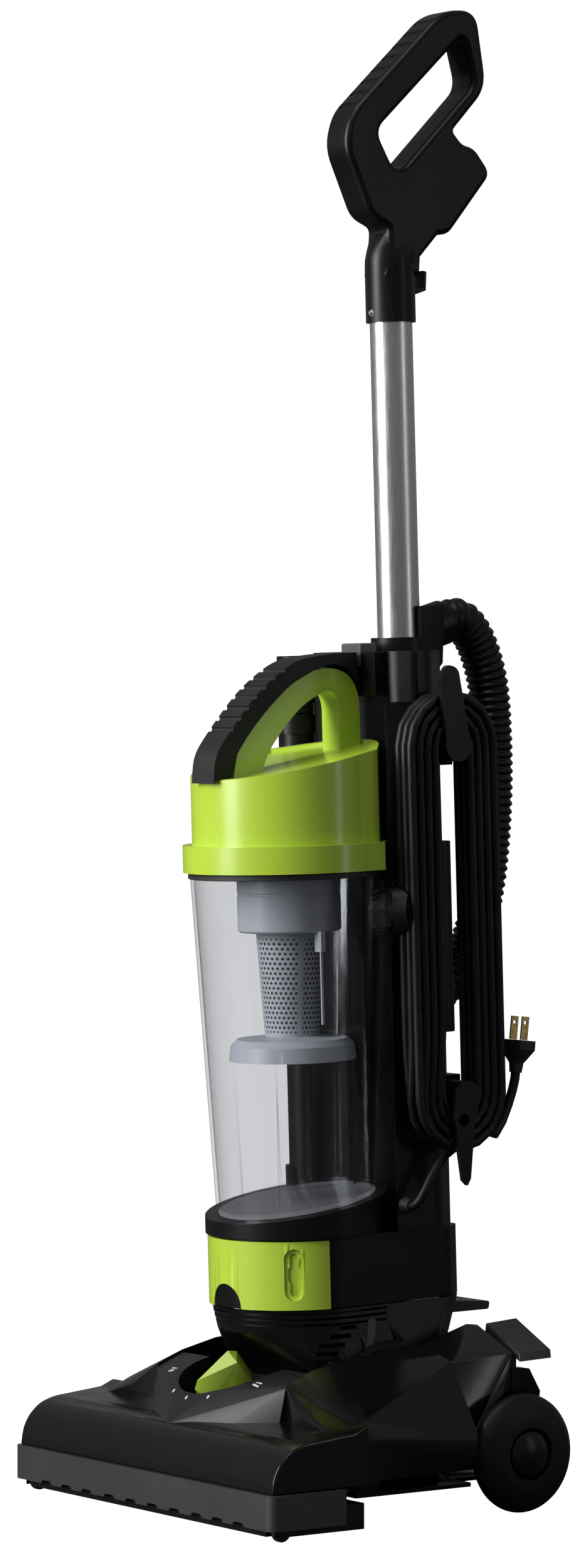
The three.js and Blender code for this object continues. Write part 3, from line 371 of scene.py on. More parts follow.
def swept(path, radius_at, sides):
    """A tube along a path in the plane x = constant, its radius given at each point."""
    bm = bmesh.new()
    ring = bmesh.ops.create_circle(bm, segments=sides, radius=1.0)["verts"]
    base = [v.co.copy() for v in ring]
    for k, point in enumerate(path):
        ahead = (path[min(k + 1, len(path) - 1)] - path[max(k - 1, 0)]).normalized()
        across = Vector((1, 0, 0))
        turn = Matrix((across, ahead.cross(across), ahead)).transposed().to_4x4()
        place = Matrix.Translation(point) @ turn @ Matrix.Scale(radius_at(k, len(path)), 4)
        if k:
            edges = list({e for v in ring for e in v.link_edges if all(u in ring for u in e.verts)})
            pushed = bmesh.ops.extrude_edge_only(bm, edges=edges)["geom"]
            old = {v: i for i, v in enumerate(ring)}
            fresh = [v for v in pushed if isinstance(v, bmesh.types.BMVert)]
            order = [None] * sides
            for v in fresh:
                partner = next(e.other_vert(v) for e in v.link_edges if e.other_vert(v) in old)
                order[old[partner]] = v
            ring = order
        for v, co in zip(ring, base):
            v.co = place @ co
    bmesh.ops.holes_fill(bm, edges=[e for e in bm.edges if e.is_boundary], sides=0)
    bmesh.ops.recalc_face_normals(bm, faces=bm.faces)
    return blank(bm)


def blank(bm):
    """The mesh as an object of its own, still in drawing millimetres."""
    mesh = bpy.data.meshes.new("blank")
    bm.to_mesh(mesh)
    bm.free()
    obj = bpy.data.objects.new("blank", mesh)
    scene.collection.objects.link(obj)
    return obj


def hose_end(across, up, rise, reach):
    """A point at a reach along the axis of one of the hose's two sockets."""
    return Vector((0, across + reach * math.cos(rise), up + reach * math.sin(rise)))


def upper_socket(reach):
    return hose_end(127, 637, 0.26, reach)


def lower_socket(reach):
    return hose_end(119, 363, 0.35, reach)


def settle(obj, name, body, finish, replaces=(), place=tower_place):
    """A finished piece: put in its place, given its finish, and tied to the frame."""
    obj.name = obj.data.name = name
    obj.data.transform(place)
    obj.data.materials.clear()
    obj.data.materials.append(finish)
    obj.data.update()
    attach(obj, body)
    if replaces:
        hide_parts(*replaces)
    return obj


hose_line = smooth_line([
    upper_socket(21.6), upper_socket(27), (0, 163, 644), (0, 174, 634), (0, 183, 616), (0, 189, 592),
    (0, 191, 560), (0, 190.5, 520), (0, 187, 480), (0, 181, 445), (0, 171, 412), (0, 158, 388),
    lower_socket(27), lower_socket(21.6),
], 12)
hose_radius = 15.7
hose_finish = flex("hose_skin", (0.003, 0.003, 0.0033), 0.36).material
hose_path = evenly(hose_line, 1.0)
hose = swept(hose_path, lambda k, n: hose_radius - (0.1, 0.0, 0.9, 1.9, 1.5, 0.6)[k % 6], 40)
for polygon in hose.data.polygons:
    polygon.use_smooth = True
settle(hose, "hose", "tower", hose_finish, ["suction_hose"])

# ------------------------------------------------------------ foot hood
# The gloss black cover of the foot, one moulding: a rounded nose over the brush, and on each side
# a creased shoulder that rises to the cheeks beside the tower. Screwed to the floor pan.


def rounded(corners, steps=8):
    """An outline through corners (a, b, setback), a corner with a setback rounded off."""
    found = []
    for i, (a, b, *setback) in enumerate(corners):
        here = Vector((a, b))
        if not setback:
            found.append(here)
            continue
        before = Vector(corners[i - 1][:2]) - here
        after = Vector(corners[(i + 1) % len(corners)][:2]) - here
        start, end = here + before.normalized() * setback[0], here + after.normalized() * setback[0]
        for k in range(steps + 1):
            t = k / steps
            found.append(start * (1 - t) ** 2 + here * 2 * t * (1 - t) + end * t * t)
    return found


def circle(radius, centre=(0, 0), start=0.0, end=360.0, steps=64):
    """Points on an arc, the end left out where it is a full circle."""
    count = steps if end - start >= 360 else steps + 1
    return [
        Vector((
            centre[0] + radius * math.cos(math.radians(start + (end - start) * k / steps)),
            centre[1] + radius * math.sin(math.radians(start + (end - start) * k / steps)),
        ))
        for k in range(count)
    ]


AXES = {"X": Vector((1, 0, 0)), "Y": Vector((0, 1, 0)), "Z": Vector((0, 0, 1))}


def prism(outline, start, end, along="X"):
    """An outline drawn across one axis and pushed along it from start to end."""
    bm = bmesh.new()
    corner = {
        "X": lambda a, b: (start, a, b), "Y": lambda a, b: (a, start, b), "Z": lambda a, b: (a, b, start),
    }[along]
    face = bm.faces.new([bm.verts.new(corner(*point)) for point in outline])
    pushed = bmesh.ops.extrude_face_region(bm, geom=[face])["geom"]
    moved = [v for v in pushed if isinstance(v, bmesh.types.BMVert)]
    bmesh.ops.translate(bm, verts=moved, vec=AXES[along] * (end - start))
    bmesh.ops.remove_doubles(bm, verts=bm.verts, dist=1e-4)
    bmesh.ops.recalc_face_normals(bm, faces=bm.faces)
    return blank(bm)


def box(x0, x1, y0, y1, z0, z1):
    return prism([(x0, y0), (x1, y0), (x1, y1), (x0, y1)], z0, z1, "Z")


def rod(radius, start, end, steps=64, end_radius=None):
    """A round bar, or a cone, between two points."""
    start, end = Vector(start), Vector(end)
    bm = bmesh.new()
    turn = (end - start).to_track_quat("Z", "Y").to_matrix().to_4x4()
    bmesh.ops.create_cone(
        bm, cap_ends=True, segments=steps, radius1=radius, radius2=end_radius or radius,
        depth=(end - start).length, matrix=Matrix.Translation((start + end) / 2) @ turn,
    )
    return blank(bm)


def turned(profile, along="Z", centre=(0, 0, 0), steps=96):
    """A profile of (radius, height) points spun about an axis."""
    bm = bmesh.new()
    closed = profile if profile[0][0] == 0 else [*profile, profile[0]]
    verts = [bm.verts.new((h, r, 0) if along == "X" else (r, 0, h)) for r, h in closed]
    edges = [bm.edges.new(pair) for pair in zip(verts, verts[1:])]
    bmesh.ops.spin(
        bm, geom=verts + edges, cent=(0, 0, 0), axis=AXES[along], angle=math.tau, steps=steps,
        use_merge=True,
    )
    bmesh.ops.remove_doubles(bm, verts=bm.verts, dist=1e-3)
    bmesh.ops.translate(bm, verts=bm.verts, vec=centre)
    bmesh.ops.recalc_face_normals(bm, faces=bm.faces)
    return blank(bm)


def hull(points):
    """The shell stretched tight over some points, its flat faces whole."""
    bm = bmesh.new()
    verts = [bm.verts.new(point) for point in points]
    inside = bmesh.ops.convex_hull(bm, input=verts, use_existing_faces=False)
    loose = {
        v for key in ("geom_unused", "geom_interior") for v in inside[key]
        if isinstance(v, bmesh.types.BMVert)
    }
    bmesh.ops.delete(bm, geom=list(loose), context="VERTS")
    bmesh.ops.dissolve_limit(bm, angle_limit=math.radians(1.5), verts=bm.verts, edges=bm.edges)
    bmesh.ops.recalc_face_normals(bm, faces=bm.faces)
    return blank(bm)


def applied(obj):
    """The object with its modifiers worked into its mesh."""
    bpy.context.view_layer.update()
    depsgraph = bpy.context.evaluated_depsgraph_get()
    mesh = bpy.data.meshes.new_from_object(obj.evaluated_get(depsgraph), depsgraph=depsgraph)
    obj.modifiers.clear()
    obj.data = mesh
    return obj


def carved(operation, body, others):
    for other in others:
        modifier = body.modifiers.new(operation, "BOOLEAN")
        modifier.operation, modifier.object, modifier.solver = operation, other, "EXACT"
    applied(body)
    for other in others:
        bpy.data.objects.remove(other)
    return body


def cut(body, *others):
    return carved("DIFFERENCE", body, others)


def join(body, *others):
    return carved("UNION", body, others)


def common(body, *others):
    return carved("INTERSECT", body, others)


def softened(obj, edge=0.8, crease=34, segments=3):
    """Moulded edges: each sharp edge is rounded, and broad faces keep their flat shading."""
    weld = obj.modifiers.new("weld", "WELD")
    weld.merge_threshold = 0.01
    if edge:
        bevel = obj.modifiers.new("edge", "BEVEL")
        bevel.width, bevel.segments, bevel.limit_method = edge, segments, "ANGLE"
        bevel.angle_limit = math.radians(crease)
        bevel.use_clamp_overlap = True
        bevel.miter_outer = "MITER_ARC"
    applied(obj)
    bm = bmesh.new()
    bm.from_mesh(obj.data)
    for face in bm.faces:
        face.smooth = True
    for seam in bm.edges:
        seam.smooth = len(seam.link_faces) == 2 and seam.calc_face_angle(0) < math.radians(crease + 8)
    bm.to_mesh(obj.data)
    bm.free()
    obj.modifiers.new("shading", "WEIGHTED_NORMAL").keep_sharp = True
    return applied(obj)


def plastic(name, colour, roughness, grain=0.0, grain_scale=1400.0, wear=0.35, **constants):
    """Moulded plastic: fine texture, handling marks, and dust in the broad hollows."""
    finish = Finish(name, colour, roughness, **constants)
    smear = finish.noise(9, 4, 0.6)
    speck = finish.noise(130, 5, 0.7)
    dust = finish.band(smear, 0.52, 0.78, 0, wear) * finish.band(speck, 0.45, 0.62)
    pale = [min(1.0, channel * 0.94 + 0.012) for channel in colour]
    finish.set("Base Color", finish.mix(dust, colour, pale))
    spread = max(0.03, roughness * 0.22)
    finish.set("Roughness", finish.band(smear, 0.32, 0.7, roughness - spread / 2, roughness + spread))
    if grain:
        finish.relief(finish.noise(grain_scale, 1.5), 0.00012, grain)
    else:
        finish.relief(finish.noise(26, 2), 0.0002, 0.05)
    return finish.material


hood_black = plastic(
    "hood_gloss_black", (0.0024, 0.0024, 0.0027), 0.2, wear=0.12, Specular_IOR_Level=0.3, Coat_Weight=0.16,
    Coat_Roughness=0.08,
)
FOOT_HALF = 163
NOZZLE_FRONT = -141
BUMPER_Z = 33.8
CHEEK_X = 82


def nozzle_outline(wall):
    """The side view of the nose, drawn in by the wall for its inside."""
    low = BUMPER_Z - (20 if wall else 0)
    nose = smooth_line([Vector((a, b, 0)) for a, b in (
        (NOZZLE_FRONT + wall + 1, 41), (-138 + wall, 48 - wall / 2), (-133 + wall * 0.8, 56 - wall * 0.6),
        (-124 + wall / 2, 63.5 - wall * 0.8), (-112, 67.6 - wall), (-100, 69 - wall),
    )], 6)
    return [
        (NOZZLE_FRONT + wall, low), *[tuple(p)[:2] for p in nose], (-70, 72 - wall), (-58 - wall, 77 - wall),
        (-58 - wall, low),
    ]


shoulder = (
    [
        (CHEEK_X, -72, 34.5), (152, -72, 34.5), (151, 48, 36), (CHEEK_X, 48, 36),
        (CHEEK_X, -72, 97), (CHEEK_X, -50, 106), (CHEEK_X, -20, 113), (CHEEK_X, 20, 115), (96, 16, 112),
        (106, -79, 80), (153, -79, 66), (151, -51, 79), (126, 26, 101), (CHEEK_X, 48, 118), (118, 48, 110),
        (150, 48, 62),
    ],
    [
        (CHEEK_X, 47, 36), (127, 47, 36), (127, 98, 36), (CHEEK_X, 98, 36), (CHEEK_X, 47, 118),
        (119, 47, 109), (84, 88, 131), (96, 92, 129), (126, 98, 113), (84, 98, 130),
    ],
    [
        (CHEEK_X, 97, 36), (127, 97, 36), (127, 116, 44), (CHEEK_X, 116, 44), (CHEEK_X, 97, 103),
        (127, 97, 103), (CHEEK_X, 113, 101), (127, 113, 101), (127, 123, 84), (CHEEK_X, 123, 84),
    ],
)
shoulder_inside = (
    [
        (85, -76, 20), (149, -76, 20), (148, 46, 20), (85, 46, 20),
        (85, -68, 93), (85, -48, 102), (85, 18, 110), (95, 13, 108),
        (105, -74, 77), (148, -76, 64), (147, -51, 75), (124, 24, 97), (85, 50, 114), (116, 46, 106),
        (146, 46, 60),
    ],
    [
        (85, 40, 20), (124, 40, 20), (124, 95, 20), (85, 95, 20), (85, 40, 110),
        (115, 40, 105), (87, 86, 126), (96, 89, 124), (122, 95, 109), (87, 95, 126),
    ],
    [
        (85, 90, 20), (124, 90, 20), (124, 113, 20), (85, 113, 20), (85, 90, 99),
        (124, 90, 99), (85, 111, 97), (124, 111, 97), (124, 119.5, 82), (85, 119.5, 82),
    ],
)
bezel_half = [
    (0, -122, 60), (46, -104, 62), (CHEEK_X, -79, 64), (CHEEK_X, -50, 64), (0, -50, 60),
    (0, -121, 64), (0, -99, 86), (28, -94, 89), (52, -78, 96), (72, -62, 101), (CHEEK_X, -50, 104),
    (CHEEK_X, -72, 95), (0, -50, 86),
]


def flipped(points):
    return [(-x, *rest) for x, *rest in points]


def tower_room():
    return rod(51, (-CHEEK_X, PIVOT_Y, PIVOT_Z), (CHEEK_X, PIVOT_Y, PIVOT_Z), 96)


def bezel_block():
    return hull(bezel_half + flipped(bezel_half))


hood = prism(nozzle_outline(0), -FOOT_HALF, FOOT_HALF)
hood = softened(hood, 1.6, 50, 4)
hood = join(hood, *[hull(points) for points in shoulder], *[hull(flipped(points)) for points in shoulder])
hood = cut(
    hood, prism(nozzle_outline(3), 3 - FOOT_HALF, FOOT_HALF - 3),
    *[hull(points) for points in shoulder_inside], *[hull(flipped(points)) for points in shoulder_inside],
)
for side in (-1, 1):
    near, far = sorted((side * 75, side * 90))
    hood = cut(
        hood, box(near, far, PIVOT_Y - 17, PIVOT_Y + 17, 20, PIVOT_Z),
        rod(17, (near, PIVOT_Y, PIVOT_Z), (far, PIVOT_Y, PIVOT_Z)),
        rod(6, (side * 118, 93, 43), (side * 130, 93, 43), 32),
    )
hood = cut(hood, bezel_block(), tower_room(), box(99, 115, 100, 118, 80, 140))
settle(softened(hood, 1.5, 40, 4), "hood", "foot", hood_black, ["foot_hood"], foot_place)

# ------------------------------------------------------------ bezel and height knob
# A satin grey surround clipped into the hood, with the round well of the height knob. The knob is
# lime, with a pointed grip, and turns against a scale of dots and strokes.
bezel_grey = plastic("bezel_grey", (0.008, 0.0083, 0.009), 0.38, grain=0.25, Specular_IOR_Level=0.3)
mark_white = plastic("printed_mark", (0.5, 0.51, 0.52), 0.5, wear=0.1)
lime_gloss = plastic(
    "lime_gloss", (0.41, 0.575, 0.045), 0.27, wear=0.1, Coat_Weight=0.25, Coat_Roughness=0.15,
    Subsurface_Weight=0.0,
)
knob_well = prism([(47 * x, 44 * y - 55) for x, y in circle(1, steps=96)], 71, 130, "Z")
bezel = common(bezel_block(), box(0.3 - CHEEK_X, CHEEK_X - 0.3, -130, -50, 0, 200))
bezel = cut(bezel, knob_well, tower_room(), box(-CHEEK_X - 3, CHEEK_X + 3, -130, -40, 20, 65.5))
settle(softened(bezel, 1.2, 30, 3), "bezel", "foot", bezel_grey, ["knob_bezel"], foot_place)

fin = [
    (0, -95, 88), (0, -93, 94), (10, -66, 80), (9, -64, 106), (0, -66, 114), (0, -58, 113),
    (6, -48, 90), (0, -45, 97), (7, -86, 80), (7, -50, 80),
]
knob = join(
    turned([(0, 71.3), (22, 71.3), (22, 78.5), (20.5, 80.4), (17, 81), (0, 81)], centre=(0, -66, 0)),
    hull(fin + flipped(fin)),
)
settle(softened(knob, 1.1, 24, 4), "height_dial", "knob", lime_gloss, ["height_knob"], foot_place)
# The scale: three dots between two short strokes, on the slope in front of the well.
scale_marks = [rod(1.1, (x, y, 55), (x, y, 120), 24) for x, y in ((-22, -98.5), (0, -102.5), (22, -98.5))]
scale_marks += [
    box(x - 3.4, x + 3.4, y - 0.6, y + 0.6, 55, 120)
    for x, y in ((-54, -79), (54, -79), (-54, -76), (54, -76))
]
lifted = bezel_block()
lifted.data.transform(Matrix.Translation((0, -0.1, 0.14)))
marks = common(join(*scale_marks), lifted)
marks = cut(marks, bezel_block())
settle(marks, "scale_marks", "foot", mark_white, (), foot_place)

# ------------------------------------------------------------ bumper
# A soft grey strip that clips round the front and both ends of the hood, with shallow scallops
# along its lower edge that let crumbs in.
bumper_grey = plastic("bumper_grey", (0.027, 0.028, 0.03), 0.42, grain=0.35, wear=0.5)
bumper_out, bumper_in = FOOT_HALF + 4, FOOT_HALF - 0.5
bumper = prism(rounded([
    (-bumper_out, -79, 3), (-bumper_out, -144.5, 9), (bumper_out, -144.5, 9), (bumper_out, -79, 3),
    (bumper_in, -79), (bumper_in, -139.5, 5), (-bumper_in, -139.5, 5), (-bumper_in, -79),
]), 9, 33.7, "Z")
scallop_x = (-122, -95, -68, -38, -10, 18, 46, 74, 100, 126)
bumper = cut(bumper, *[
    prism(rounded([(x - 8, 5), (x + 8, 5), (x + 6, 11.5, 2), (x - 6, 11.5, 2)]), -150, -130, "Y")
    for x in scallop_x
])
# A lip inside the strip stands up behind the hood's lower edge.
lip_room = (-158.5, 158.5, -135.5, -79, 22, 40)
bumper = join(
    bumper, cut(box(-162.7, 162.7, -139.7, -80, 23, 33.5), box(*lip_room)),
    cut(box(-159.7, 159.7, -137.6, -80, 33, 37), box(*lip_room)),
)
settle(
    softened(bumper, 0.9, 30, 3), "bumper", "foot", bumper_grey, ["front_bumper"],
    foot_place,
)

# ------------------------------------------------------------ wheels
# Each rear wheel is a hollow black moulding with a soft ribbed tread, and turns on an axle whose
# head is a domed cap.
wheel_black = plastic(
    "wheel_black", (0.003, 0.003, 0.0033), 0.5, grain=0.3, wear=0.6, Specular_IOR_Level=0.25,
)
cap_black = plastic("cap_black", (0.004, 0.004, 0.0043), 0.32, wear=0.3, Specular_IOR_Level=0.25)
wheel_y, wheel_z, wheel_x = 93, 43, 132
tread = [
    (5.3, 0), (24, 0), (27, 1.4), (34, 2.2), (38.6, 4.4), (41.6, 7.4), (42.6, 9.2), (42.6, 10.2),
    (42.9, 10.4), (43, 11.5), (42.9, 12.6), (42.6, 12.8), (42.6, 13.8), (41.6, 15.6), (38.6, 18.6),
    (35.4, 20.3), (34.2, 20.3), (33.4, 20.9), (28, 22.4), (24.5, 23), (19.5, 23), (18.4, 22), (18, 19),
    (5.3, 19),
]
for word, side in (("left", -1), ("right", 1)):
    wheel = turned([(r, side * (wheel_x + h)) for r, h in tread], "X", (0, wheel_y, wheel_z), 128)
    settle(
        softened(wheel, 0), f"wheel_{word}", f"wheel_{word}", wheel_black, [f"rear_wheel_{word}"],
        foot_place,
    )
    cap = turned([(r, side * h) for r, h in (
        (0, 106), (5, 106), (5, 151.3), (16.6, 151.3), (17, 151.8), (17, 153.4), (16.2, 154.6), (13, 156.6),
        (9, 158), (5, 158.8), (0, 159),
    )], "X", (0, wheel_y, wheel_z), 96)
    settle(
        softened(cap, 0), f"axle_{word}", "foot", cap_black, [f"wheel_axle_{word}"],
        foot_place,
    )

# ------------------------------------------------------------ release pedal
# A broad grey pad beside the right wheel, moulded on an arm that frees the tower from its lock.
pedal_grey = plastic("pedal_grey", (0.012, 0.0125, 0.0135), 0.36, grain=0.2, wear=0.5)
release = join(
    hull([
        (88, 102, 124), (88, 131, 126), (131, 101, 107), (131, 130, 108),
        (88, 103, 131), (88, 131, 133), (130, 102, 113), (130, 130, 114), (96, 134, 121), (124, 133, 109),
    ]),
    box(101, 113, 102, 112, 74, 118),
)
release = cut(release, rod(2.8, (96, 106, 80), (118, 106, 80), 32))
settle(
    softened(release, 1.2, 28, 4), "tower_release", "foot_pedal", pedal_grey, ["release_pedal"],
    foot_place,
)

# ------------------------------------------------------------ sole plate
# The satin black tray under the nose, open over the brush, with pockets for the rollers. It is
# screwed up into the hood.
satin_black = plastic(
    "satin_black", (0.0028, 0.0028, 0.0031), 0.34, grain=0.3, wear=0.3, Specular_IOR_Level=0.24,
)
SOLE_Z = 4
NOZZLE_BACK = -60
roller_x, roller_y = 156, -129
carriage_x, carriage_y = 50, -71
sole = prism(rounded([
    (-161.8, NOZZLE_BACK, 3), (-161.8, -138.8, 6), (161.8, -138.8, 6), (161.8, NOZZLE_BACK, 3),
]), SOLE_Z, 22, "Z")
sole = cut(
    sole, box(-159, 159, -136, NOZZLE_BACK - 3, SOLE_Z + 3, 30), box(-129, 129, -125, -84, 0, 30),
    box(-carriage_x, carriage_x, carriage_y - 2.8, carriage_y + 2.8, 0, 12),
)
sole = join(sole, *[
    box(side * roller_x - 5.7, side * roller_x + 5.7, -134, -119, SOLE_Z, 18) for side in (-1, 1)
])
for side in (-1, 1):
    sole = cut(
        sole, box(side * roller_x - 4, side * roller_x + 4, -142, -121, 0, 16.5),
        box(side * carriage_x - 9, side * carriage_x + 9, carriage_y - 7.5, carriage_y + 7.5, 0, 12),
    )
settle(softened(sole, 0.5), "sole", "foot", satin_black, ["sole_plate"], foot_place)

# ------------------------------------------------------------ rollers and carriage
# Two small rollers under the front corners, and a pair on the carriage that the knob pushes down.
# Each turns on its own moulded stubs.
roller_black = plastic("roller_black", (0.014, 0.014, 0.0145), 0.55, grain=0.2, wear=0.6)
for word, side in (("left", -1), ("right", 1)):
    roller = turned([
        (0, -3.6), (1.6, -3.6), (1.6, -3.2), (5.6, -3.2), (6.6, -2.6), (7, -1.8), (7, 1.8), (6.6, 2.6),
        (5.6, 3.2), (1.6, 3.2), (1.6, 3.6), (0, 3.6),
    ], "X", (side * roller_x, roller_y, 7), 48)
    settle(
        softened(roller, 0), f"roller_{word}", f"roller_{word}", roller_black,
        [f"front_roller_{word}"],
        foot_place,
    )
roller_axis = 9.4
carriage = join(
    box(-62, 62, carriage_y - 5, carriage_y + 5, 17, 21),
    *[
        box(side * carriage_x + near, side * carriage_x + near + 2.5, carriage_y - 3, carriage_y + 3, 6, 18)
        for side in (-1, 1) for near in (-8, 5.5)
    ],
    rod(5, (0, carriage_y, 20), (0, carriage_y, 60), 48),
)
carriage = cut(carriage, rod(2.4, (-70, carriage_y, roller_axis), (70, carriage_y, roller_axis), 32))
settle(
    softened(carriage, 0.4), "carriage", "carriage", satin_black, ["height_carriage"],
    foot_place,
)
carriage_roller = join(
    rod(2, (-carriage_x - 9, carriage_y, roller_axis), (carriage_x + 9, carriage_y, roller_axis), 32),
    *[
        rod(
            6, (side * carriage_x - 5, carriage_y, roller_axis),
            (side * carriage_x + 5, carriage_y, roller_axis), 48,
        )
        for side in (-1, 1)
    ],
)
settle(
    softened(carriage_roller, 0.5), "carriage_wheels", "carriage_rollers", roller_black,
    ["carriage_roller"], foot_place,
)

# ------------------------------------------------------------ brush roll
# A black moulded roll with two spiral rows of stiff bristle tufts, driven by a flat belt at its
# left end and held by a grey bearing block at each end.
brush_y, brush_z = -104, 24
bristle_finish = Finish("bristle", (0.03, 0.03, 0.032), 0.6)
bristle_finish.set("Base Color", bristle_finish.mix(
    bristle_finish.noise(500, 3), (0.012, 0.012, 0.012), (0.10, 0.10, 0.105),
))
roll = softened(turned([
    (0, -124), (5, -124), (5, -120), (15.5, -120), (15.5, -114), (12, -114), (12, -101), (15.5, -101),
    (15.5, 120), (5, 120), (5, 124), (0, 124),
], "X", (0, brush_y, brush_z), 64), 0.5)
settle(roll, "brush_core", "brush", satin_black, ["brush_roll"], foot_place)
tufts = bmesh.new()
tuft_count = 54
for row in (0, math.pi):
    for number in range(tuft_count):
        share = number / (tuft_count - 1)
        angle = row + math.tau * 1.25 * share
        outward = Vector((0, math.cos(angle), math.sin(angle)))
        place = outward.to_track_quat("Z", "X").to_matrix().to_4x4()
        place.translation = Vector((-94 + 206 * share, brush_y, brush_z)) + outward * 18
        bmesh.ops.create_cone(
            tufts, cap_ends=True, segments=9, radius1=1.4, radius2=2.0, depth=6.6, matrix=place,
        )
tufts = blank(tufts)
settle(tufts, "bristle_rows", "brush", bristle_finish.material, (), foot_place)
for word, side in (("left", -1), ("right", 1)):
    near, far = sorted((side * 121, side * 133))
    inner, outer = sorted((side * 120, side * 129.4))
    bearing = cut(
        box(near, far, brush_y - 15, brush_y + 15, SOLE_Z + 3.3, 42),
        box(inner, outer, -125, -84, 0, 7.6),
        rod(5.4, (side * 120, brush_y, brush_z), (side * 126, brush_y, brush_z), 48),
    )
    settle(
        softened(bearing, 0.6), f"bearing_{word}", "foot", bezel_grey,
        [f"brush_bearing_{word}"],
        foot_place,
    )


def belt_loop(extra, x0, x1):
    return hull([
        (x, centre_y + (radius + extra) * a, centre_z + (radius + extra) * b)
        for x in (x0, x1)
        for radius, centre_y, centre_z in ((9, PIVOT_Y, PIVOT_Z), (12, brush_y, brush_z))
        for a, b in circle(1, steps=48)
    ])


belt_rubber = plastic("belt_rubber", (0.012, 0.012, 0.012), 0.6, wear=0.2)
belt = cut(belt_loop(2.5, -112, -103), belt_loop(0.5, -113, -102))
settle(softened(belt, 0.4), "belt", "foot", belt_rubber, ["drive_belt"], foot_place)

# ------------------------------------------------------------ floor pan
# The flat black floor of the foot behind the nose, moulded with the blocks that carry the tower's
# trunnions and the wheel axles, and closed by screws from below.
pan = prism([
    (-146, -57), (146, -57), (146, 45), (122, 45), (122, 110), (80, 110), (80, 78), (-80, 78), (-80, 110),
    (-122, 110), (-122, 45), (-146, 45),
], 23, 26, "Z")
for side in (-1, 1):
    near, block = min(side * 86, side * 99), min(side * 106, side * 121)
    pan = join(
        pan, box(near, near + 13, PIVOT_Y - 22, PIVOT_Y + 22, 23, PIVOT_Z),
        box(block, block + 15, wheel_y - 11, wheel_y + 11, 23, wheel_z + 10),
    )
    pan = cut(
        pan, rod(15.4, (side * 80, PIVOT_Y, PIVOT_Z), (side * 101, PIVOT_Y, PIVOT_Z)),
        rod(5.4, (side * 104, wheel_y, wheel_z), (side * 124, wheel_y, wheel_z), 48),
    )
settle(softened(pan, 0.5), "pan", "foot", satin_black, ["foot_pan"], foot_place)

# ------------------------------------------------------------ pedal pin and spring
# A ground steel pin through the pedal's arm, and the coil spring of wire that lifts it again.
bright_steel = Finish("bright_steel", (0.55, 0.55, 0.56), 0.3, Metallic=1.0)
bright_steel.set("Roughness", bright_steel.band(bright_steel.noise(300, 3), 0.3, 0.7, 0.22, 0.4))
pin = rod(2.5, (97, 106, 80), (117, 106, 80), 32)
settle(softened(pin, 0.4), "pin", "foot", bright_steel.material, ["pedal_pin"], foot_place)
coil_turns, steps_per_coil, wire = 5, 24, 0.8
coil = bmesh.new()
ring = bmesh.ops.create_circle(coil, segments=10, radius=wire)["verts"]
bmesh.ops.rotate(coil, verts=ring, cent=(0, 0, 0), matrix=Matrix.Rotation(math.pi / 2, 3, "X"))
bmesh.ops.translate(coil, verts=ring, vec=(5, 0, 0))
bmesh.ops.spin(
    coil, geom=[*ring, *{edge for vert in ring for edge in vert.link_edges}], cent=(0, 0, 0), axis=(0, 0, 1),
    angle=math.tau * coil_turns, steps=coil_turns * steps_per_coil,
    dvec=(0, 0, 18 / (coil_turns * steps_per_coil)),
)
bmesh.ops.translate(coil, verts=coil.verts, vec=(107, 107, 54))
bmesh.ops.recalc_face_normals(coil, faces=coil.faces)
coil = blank(coil)
settle(softened(coil, 0), "spring", "foot", bright_steel.material, ["pedal_spring"], foot_place)

# ------------------------------------------------------------ motor housing
# A satin black moulding round the motor: a drum on two trunnions, and a neck that widens up to the
# filter, ribbed in front, with exhaust slots in each flank. Beside the slots each flank carries a pale
# grey band, a painted highlight where light falls on the neck.
neck_top = 147.5


def neck(inset):
    top = neck_top + (5 if inset > 0 else 0)
    return hull([
        *[(x, y, top) for x, y in circle(64 - inset)],
        (-50 + inset, 108 - inset, top), (50 - inset, 108 - inset, top),
        (-64 + inset, 88 - inset, top), (64 - inset, 88 - inset, top),
        *[(x, y, 130) for x, y in circle(62 - inset, (0, 2))],
        (-70 + inset, -10 + inset, 88), (70 - inset, -10 + inset, 88),
        (-72 + inset, 70 - inset, 88), (72 - inset, 70 - inset, 88),
    ])


drum_half = 79
housing = join(
    rod(47, (-drum_half, PIVOT_Y, PIVOT_Z), (drum_half, PIVOT_Y, PIVOT_Z), 128), neck(0),
    *[
        rod(15, (side * drum_half, PIVOT_Y, PIVOT_Z), (side * 100, PIVOT_Y, PIVOT_Z)) for side in (-1, 1)
    ],
)
housing = cut(
    housing, rod(44, (3 - drum_half, PIVOT_Y, PIVOT_Z), (drum_half - 3, PIVOT_Y, PIVOT_Z), 96), neck(3),
    rod(6, (-110, PIVOT_Y, PIVOT_Z), (110, PIVOT_Y, PIVOT_Z), 48),
    box(-26, 38, 88, 125, 126, 144),
)
for side in (-1, 1):
    near, far = sorted((side * 56, side * 80))
    housing = cut(housing, *[
        prism(rounded([
            (y - length, z - 1.5), (y, z - 1.5, 1), (y, z + 1.5, 1), (y - length, z + 1.5),
        ], 3), near, far)
        for y, z, length in [(4 - 5.5 * i, 134 - 6 * i, 14 + 2.4 * i) for i in range(6)]
    ])
housing = cut(housing, *[
    cut(rod(90, (0, -30, z), (0, -30, z + 1.8), 96), rod(radius, (0, 2, z - 1), (0, 2, z + 3), 128))
    for z, radius in ((136, 61.6), (140.2, 62.1), (144.2, 62.7))
])
settle(softened(housing, 0.7, 30), "housing", "tower", satin_black, ["motor_housing"])
# The pale grey bands on the neck's flanks are a painted highlight, laid as thin shells over the black.
painted_highlight_grey = plastic("painted_highlight_grey", (0.035, 0.036, 0.038), 0.4, grain=0.2)
